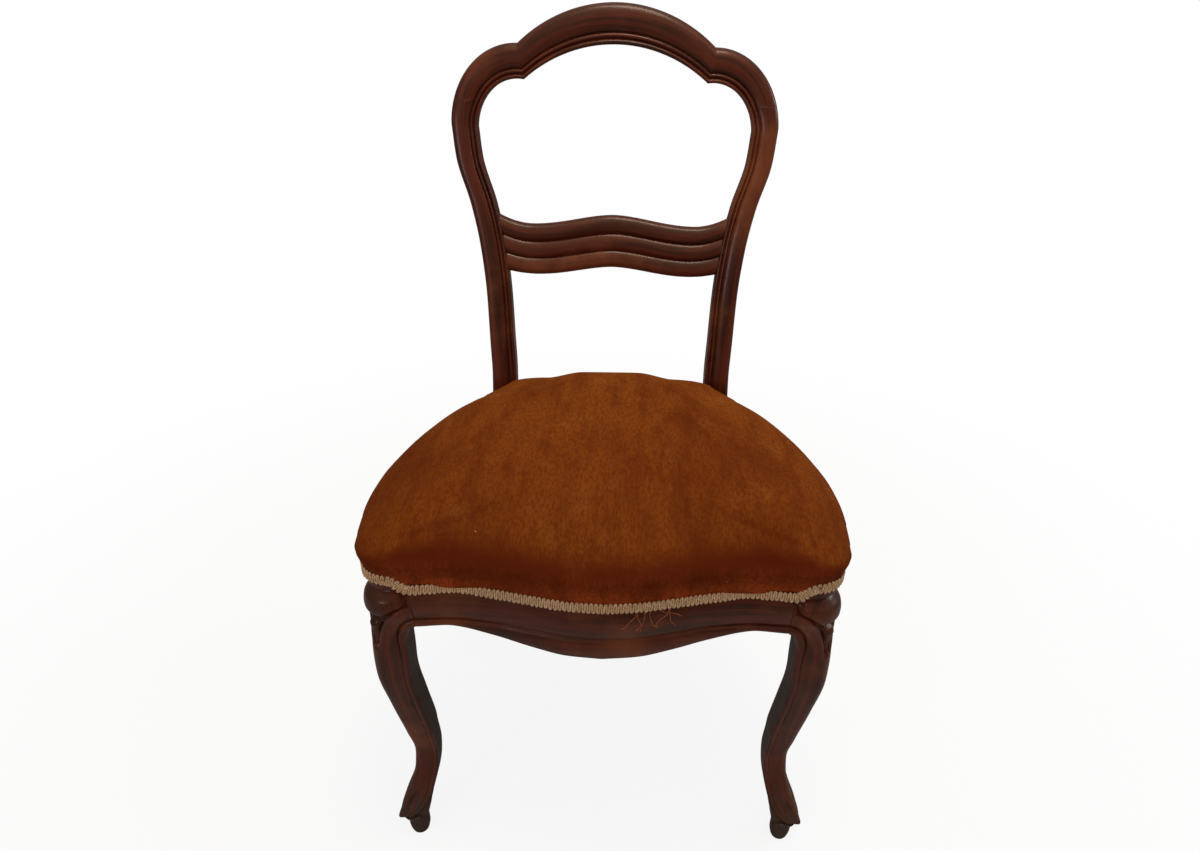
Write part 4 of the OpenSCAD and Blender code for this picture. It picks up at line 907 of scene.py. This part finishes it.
def dressCover(o):
    # pleats at the front corners, hollows from use, a mask of painted shade on faces turned to the front and
    # sides, and a mask of painted sheen on the low front band
    me = o.data
    co = vertexPlaces(me)
    no = np.array([v.normal[:] for v in me.vertices])
    x, y, z = co[:, 0] * 1000, co[:, 1] * 1000 - chair["slideY"], co[:, 2] * 1000
    push = 0.7 * np.clip((z - gimpLow - 8) / 10, 0, 1)
    rng = np.random.default_rng(cushion["seed"])
    for k in range(cushion["hollows"]):
        cx, cy = rng.uniform(-190, 190), rng.uniform(-200, 110)
        amount, wide = rng.uniform(-0.9, 0.7), rng.uniform(35, 70)
        push += amount * np.exp(-((x - cx) ** 2 + (y - cy) ** 2) / (2 * wide ** 2))
    for side in (-1, 1):
        for at, depth, wide in pleats:
            angle = np.arctan2(-(y + cornerMiddle - 20), side * x - cornerMiddle + 20) - math.pi / 4
            near = np.exp(-((angle - at) * 30 / wide) ** 2)
            reach = np.clip((side * x - cornerMiddle + 45) / 40, 0, 1)
            reach = reach * np.clip((-y - cornerMiddle + 45) / 40, 0, 1)
            height = np.clip((420 - z) / 14, 0, 1) * np.clip((z - 397) / 8, 0, 1)
            push -= depth * near * reach * height
    co += no * push[:, None] * 0.001
    me.vertices.foreach_set("co", co.ravel())
    # painted shade: faces turned to the front and sides, and the seat a little towards its front
    frontness = np.clip((-no[:, 1] - 0.34) / 0.42, 0, 1)
    sideness = np.clip((np.abs(no[:, 0]) - 0.45) / 0.5, 0, 1) * 0.75
    paintedShade = np.maximum(frontness, sideness)
    paintedShade = paintedShade * paintedShade * (3 - 2 * paintedShade)
    paintedShade = np.maximum(paintedShade, 0.3 * np.clip((90 - y) / 260, 0, 1))
    storeValues(me, "paintedShade", paintedShade)
    # painted sheen: low faces that turn to the front are to be lightened
    hem = np.clip((-no[:, 1] - 0.5) * 2, 0, 1) * np.clip((gimpLow + 56 - z) / 36, 0, 1)
    storeValues(me, "hem", hem)
    me.update()


def shellCover(o):
    # the closed form becomes cloth: cut round the stiles, opened below and given its thickness
    for side in (-1, 1):
        xs = (side * (postX - back["stileWidth"] - cushion["gap"]), side * (postX + 12))
        corners = []
        for z in (gimpLow - 20, waistZ, waistZ + 68):
            near, far = stileY(z) - cushion["gap"], postY + 60
            corners += [(xs[0], near, z), (xs[1], near, z), (xs[1], far, z), (xs[0], far, z)]
        block = addObject("cut", newMesh("cut", corners, [[3, 2, 1, 0], [8, 9, 10, 11]] + skinFaces(3, 4)))
        with editing(block.data) as bm:
            bmesh.ops.recalc_face_normals(bm, faces=bm.faces)
        addModifier(o, "BOOLEAN", operation="DIFFERENCE", object=block, solver="EXACT")
        applyModifiers(o)
        bpy.data.objects.remove(block)
    with editing(o.data) as bm:
        under = []
        for face in bm.faces:
            x, y, z = face.calc_center_median() * 1000
            if face.normal.z < -0.8 and z < gimpLow + 5 + lift(x, y - chair["slideY"]):
                under.append(face)
        bmesh.ops.delete(bm, geom=under, context="FACES")
        bmesh.ops.delete(bm, geom=[v for v in bm.verts if not v.link_faces], context="VERTS")
    addModifier(o, "SOLIDIFY", thickness=cushion["thickness"], offset=-1)
    applyModifiers(o)
    o.data.shade_smooth()
    o.data.set_sharp_from_angle(angle=math.radians(60))


cover = makeCushion()
addModifier(cover, "REMESH", mode="VOXEL", voxel_size=cushion["voxel"], use_smooth_shade=True)
applyModifiers(cover)
puff(cover)
addModifier(cover, "SUBSURF", levels=1, render_levels=1)
applyModifiers(cover)
dressCover(cover)
shellCover(cover)
settle(cover, "velvet", "velvet_cover")
print("cushion made:", len(cover.data.polygons), "faces")

# The gimp braid: its loops, and the pulled threads that hang from it
gimp = {"pitch": 0.0048, "cord": 0.00108, "height": 0.0138, "slant": -0.07, "seed": 3}
threads = {"at": 52.0, "count": 7, "steps": 18, "stride": 1.5, "radius": 0.36, "seed": 12}


def gimpPath():
    outward, up = 1.9, gimpLow + 6.5
    stop = [k for k, p in enumerate(plan[:len(plan) // 2]) if p[1] > postY - 12][0]
    around = plan[stop::-1] + plan[:-stop - 1:-1]
    front = [(x + nx * outward, y + ny * outward, up + lift(x, y)) for x, y, nx, ny in around]
    reach = innerX(380) - 1
    return front, [(x, rearEdge + outward, up) for x in spread(-reach, reach, 60)]


def gimpTree(material):
    tree = bpy.data.node_groups.new("gimpLoops", "GeometryNodeTree")
    tree.interface.new_socket("Geometry", in_out="INPUT", socket_type="NodeSocketGeometry")
    for name, value in gimp.items():
        kind = "NodeSocketInt" if isinstance(value, int) else "NodeSocketFloat"
        tree.interface.new_socket(name, in_out="INPUT", socket_type=kind)
    tree.interface.new_socket("Geometry", in_out="OUTPUT", socket_type="NodeSocketGeometry")
    g = Graph(tree)
    given = g.make("NodeGroupInput").socket.node.outputs
    path, pitch, cord, height, slant, seed = [Value(g, given[k]) for k in ("Geometry", *gimp)]
    steps = g.make("GeometryNodeResampleCurve", {"mode": "LENGTH"}, {"Curve": path, "Length": pitch})
    turn = g.make("FunctionNodeAxesToRotation", {"primary_axis": "X", "secondary_axis": "Z"},
                  {"Primary Axis": g.make("GeometryNodeInputTangent"),
                   "Secondary Axis": g.make("CombineXYZ", {}, {"Z": 1.0})})
    # one turn of the braid: a cord that runs up, over, down and under in a row of even turns
    line = g.make("GeometryNodeCurvePrimitiveLine", {}, {"Start": (0, 0, 0), "End": (0.01, 0, 0)})
    points = g.make("GeometryNodeResampleCurve", {"mode": "COUNT"}, {"Curve": line, "Count": 13})
    share = g.make("GeometryNodeSplineParameter")
    zed = (share * (2 * math.pi)).sine() * (height * 0.42)
    step = share + (share * (4 * math.pi)).sine() * (-1.15 / (4 * math.pi))
    where = g.make("CombineXYZ", {}, {"X": (step - 0.5) * pitch + zed * slant, "Z": zed})
    loop = g.make("GeometryNodeSetPosition", {}, {"Geometry": points, "Position": where})
    section = g.make("GeometryNodeCurvePrimitiveCircle", {"mode": "RADIUS"},
                     {"Resolution": 5, "Radius": cord})
    tube = g.make("GeometryNodeCurveToMesh", {},
                  {"Curve": loop, "Profile Curve": section, "Fill Caps": True})
    rows = g.make("GeometryNodeInstanceOnPoints", {}, {"Points": steps, "Instance": tube, "Rotation": turn})
    wobble = g.make("FunctionNodeRandomValue", {"data_type": "FLOAT_VECTOR"},
                    {"Min": (-0.04, -0.05, -0.03), "Max": (0.04, 0.05, 0.03), "Seed": seed})
    tilt = g.make("GeometryNodeRotateInstances", {}, {"Instances": rows, "Rotation": wobble})
    grow = g.make("FunctionNodeRandomValue", {"data_type": "FLOAT_VECTOR"},
                  {"Min": (1.0, 0.9, 0.95), "Max": (1.0, 1.1, 1.05), "Seed": seed})
    sized = g.make("GeometryNodeScaleInstances", {}, {"Instances": tilt, "Scale": grow})
    smooth = g.make("GeometryNodeSetShadeSmooth", {}, {"Geometry": sized})
    # a thin band behind the loops, marked to be painted dark as the shade in the gaps between them
    band = g.make("GeometryNodeCurvePrimitiveQuadrilateral", {"mode": "RECTANGLE"},
                  {"Width": 0.0005, "Height": 0.0102})
    upright = g.make("GeometryNodeSetCurveNormal", {"mode": "Z_UP"}, {"Curve": path})
    strip = g.make("GeometryNodeCurveToMesh", {},
                   {"Curve": upright, "Profile Curve": band, "Fill Caps": True})
    deepToneAndGapShade = g.make("GeometryNodeStoreNamedAttribute", {"data_type": "FLOAT", "domain": "POINT"},
                  {"Geometry": strip, "Name": "deepToneAndGapShade", "Value": 1.0})
    both = g.make("GeometryNodeJoinGeometry", {}, {"Geometry": deepToneAndGapShade})
    tree.links.new(smooth.socket, both.socket.node.inputs["Geometry"])
    real = g.make("GeometryNodeRealizeInstances", {}, {"Geometry": both})
    paint = g.make("GeometryNodeSetMaterial", {}, {"Geometry": real, "Material": material})
    g.make("NodeGroupOutput", {}, {"Geometry": paint})
    return tree


def addThreads(me):
    # a few pulled threads hang below the gimp, right of the middle
    rng = np.random.default_rng(threads["seed"])
    turns = [2 * math.pi * i / 5 for i in range(5)]
    added = []
    with editing(me) as bm:
        for k in range(threads["count"]):
            x, z = threads["at"] + rng.uniform(-20, 20), gimpLow + 1.5
            heading, rings = rng.uniform(-2.2, -0.9), []
            for step in range(threads["steps"]):
                y = frontLine(abs(x)) - 3.4 - 0.8 * math.sin(step * 0.5 + k)
                ring = [(x + threads["radius"] * math.cos(a), y + threads["radius"] * math.sin(a) * 0.7,
                         z + threads["radius"] * math.sin(a)) for a in turns]
                rings.append([bm.verts.new(v) for v in place(ring)])
                heading += rng.uniform(-0.34, 0.3)
                x += math.cos(heading) * threads["stride"]
                z = min(z + math.sin(heading) * threads["stride"], gimpLow + 1)
            for low, high in zip(rings, rings[1:]):
                added += [bm.faces.new((low[i], low[(i + 1) % 5], high[(i + 1) % 5], high[i]))
                          for i in range(5)]
            added += [bm.faces.new(ring) for ring in (rings[0][::-1], rings[-1])]
        bmesh.ops.recalc_face_normals(bm, faces=added)
    return len(added)


def makeGimp():
    data = bpy.data.curves.new("gimpPath", "CURVE")
    data.dimensions = "3D"
    for points in gimpPath():
        spline = data.splines.new("POLY")
        spline.points.add(len(points) - 1)
        for p, c in zip(spline.points, place(points)):
            p.co = (*c, 1)
    path = addObject("gimpPath", data)
    tree = gimpTree(finishes["gimp"])
    loops = addModifier(path, "NODES", node_group=tree)
    for item in tree.interface.items_tree:
        if item.name in gimp:
            loops[item.identifier] = gimp[item.name]
    me = evaluated(path)
    bpy.data.objects.remove(path)
    me.name = "gimpBraid"
    return addObject("gimpBraid", me), addThreads(me)


braid, threadFaces = makeGimp()
settle(braid, "gimp", "gimp_braid")
braid.data.materials.append(finishes["pulled"])
for face in braid.data.polygons:
    face.material_index = int(face.index >= len(braid.data.polygons) - threadFaces)
print("gimp made:", len(braid.data.polygons), "faces")

# Dust cover, one stretched sheet
dust = {"sag": 0.0022, "ripple": 0.0003, "step": 0.008, "thickness": 0.0005, "halfWidth": 0.23,
        "halfDepth": 0.2, "middleY": -0.055}


def makeDustCover():
    low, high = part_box("dust_cover")
    me = frame["nodes"]["dust_cover"].data.copy()
    me.name = "dustCover"
    middle = (low[2] + high[2]) / 2
    with editing(me) as bm:
        bmesh.ops.remove_doubles(bm, verts=bm.verts, dist=1e-6)
        spare = [f for f in bm.faces if f.calc_center_median().z > middle - 1e-5 or abs(f.normal.z) < 0.5]
        bmesh.ops.delete(bm, geom=spare, context="FACES")
        bmesh.ops.dissolve_faces(bm, faces=bm.faces)
        for axis in (0, 1):
            at = low[axis] + dust["step"]
            while at < high[axis]:
                spot, normal = [0, 0, 0], [0, 0, 0]
                spot[axis], normal[axis] = at, 1
                bmesh.ops.bisect_plane(bm, geom=list(bm.verts) + list(bm.edges) + list(bm.faces),
                                       plane_co=spot, plane_no=normal)
                at += dust["step"]
        area = sum(f.calc_area() for f in bm.faces)
        for v in bm.verts:
            u = clamp(1 - (v.co.x / dust["halfWidth"]) ** 2)
            u *= clamp(1 - ((v.co.y - dust["middleY"]) / dust["halfDepth"]) ** 2)
            ripple = dust["ripple"] * math.sin(v.co.x * 90) * math.sin(v.co.y * 70)
            v.co.z = middle - dust["sag"] * u - ripple * u
        bmesh.ops.recalc_face_normals(bm, faces=bm.faces)
    o = addObject("dustCover", me)
    addModifier(o, "SOLIDIFY", thickness=dust["thickness"], offset=0)
    applyModifiers(o)
    o.data.shade_smooth()
    settle(o, "dust_cloth", "dust_cover")


makeDustCover()
print("dust cover made")

# Floor, light and camera
studio = {"floor": 1.0, "floorBounce": 0.45, "shadow": 0.13, "world": 0.1, "ceiling": 0.52, "key": 26.0,
          "fill": 11.0, "rim": 12.0}
lens = {"yaw": 0.37, "pitch": 28.44, "roll": 1.36, "x": 18.17, "y": -831.75, "z": 911.42, "turnY": -42.0,
        "focal": 799.0, "centreX": 623.1, "centreY": 431.1, "width": 1200, "height": 851, "film": 36.0}


def makeFloor():
    me = bpy.data.meshes.new("floor")
    me.from_pydata([(-30, -30, 0), (30, -30, 0), (30, 60, 0), (-30, 60, 0)], [], [[0, 1, 2, 3]])
    f = Finish("paleFloor")
    seen = f.make("LightPath", out="Is Camera Ray")
    # the object's shadow shows near it, and the floor fades to plain white further out
    away = f.make("VectorMath", {"operation": "LENGTH"}, {0: f.coords()}, "Value").between(0.45, 1.5)
    tone = f.blend(seen, (studio["floorBounce"],) * 3, (studio["floor"],) * 3)
    lit = f.make("BsdfDiffuse", {}, {"Color": tone})
    glow = f.make("Emission", {}, {"Color": (1, 1, 1), "Strength": 1.0})
    share = seen * (1 - studio["shadow"] * (1 - away))
    me.materials.append(f.show(f.make("MixShader", {}, {0: share, 1: lit, 2: glow})))
    addObject("floor", me)


def makeWorld():
    world = bpy.data.worlds.new("studio")
    world.use_nodes = True
    g = Graph(world.node_tree)
    # the room is lighter overhead than at its sides
    height = g.make("SeparateXYZ", {}, {0: g.make("TexCoord", out="Generated")}, 2)
    light = g.make("MapRange", {}, {"Value": height, "From Min": 0.0, "From Max": 0.9,
                                    "To Min": studio["world"], "To Max": studio["ceiling"]})
    room = g.make("Background", {}, {0: (1.0, 0.93, 0.86), 1: light})
    white = g.make("Background", {}, {0: (1, 1, 1)})
    seen = g.make("LightPath", out="Is Camera Ray")
    g.make("OutputWorld", {}, {0: g.make("MixShader", {}, {0: seen, 1: room, 2: white})})
    bpy.context.scene.world = world


def addLamp(name, at, to, size, power, colour):
    data = bpy.data.lights.new(name, "AREA")
    data.shape, data.size, data.energy, data.color = "DISK", size, power, colour
    o = addObject(name, data)
    o.location = at
    o.rotation_euler = (Vector(to) - Vector(at)).to_track_quat("-Z", "Y").to_euler()


def makeCamera():
    yaw, pitch, roll = (math.radians(lens[k]) for k in ("yaw", "pitch", "roll"))
    forward = Vector((math.sin(yaw) * math.cos(pitch), math.cos(yaw) * math.cos(pitch), -math.sin(pitch)))
    right = Vector((math.cos(yaw), -math.sin(yaw), 0))
    up = Vector((math.sin(yaw) * math.sin(pitch), math.cos(yaw) * math.sin(pitch), math.cos(pitch)))
    turnedRight = right * math.cos(roll) + up * math.sin(roll)
    turnedUp = up * math.cos(roll) - right * math.sin(roll)
    data = bpy.data.cameras.new("camera")
    data.sensor_fit, data.sensor_width = "HORIZONTAL", lens["film"]
    data.lens = lens["focal"] / lens["width"] * lens["film"]
    data.shift_x = (lens["width"] / 2 - lens["centreX"]) / lens["width"]
    data.shift_y = (lens["centreY"] - lens["height"] / 2) / lens["width"]
    data.clip_start, data.clip_end = 0.05, 100
    o = addObject("camera", data)
    m = Matrix((turnedRight, turnedUp, -forward)).transposed().to_4x4()
    across, along = lens["x"], lens["y"]
    m.translation = Vector((math.cos(yaw) * across + math.sin(yaw) * along,
                            math.cos(yaw) * along - math.sin(yaw) * across + lens["turnY"] + chair["slideY"],
                            lens["z"])) * 0.001
    o.matrix_world = m
    bpy.context.scene.camera = o


makeFloor()
makeWorld()
addLamp("overhead", (0.2, -0.2, 2.9), (0, 0, 0.5), 0.9, studio["key"], (1.0, 0.9, 0.8))
addLamp("frontFill", (-1.6, -2.2, 1.5), (0, 0, 0.45), 0.8, studio["fill"], (0.8, 0.8, 1.0))
addLamp("windowSide", (2.2, 0.4, 1.6), (0, 0, 0.6), 0.7, studio["rim"], (0.86, 0.9, 1.0))
makeCamera()
bpy.context.scene.view_settings.view_transform = "Standard"
print("scene finished")
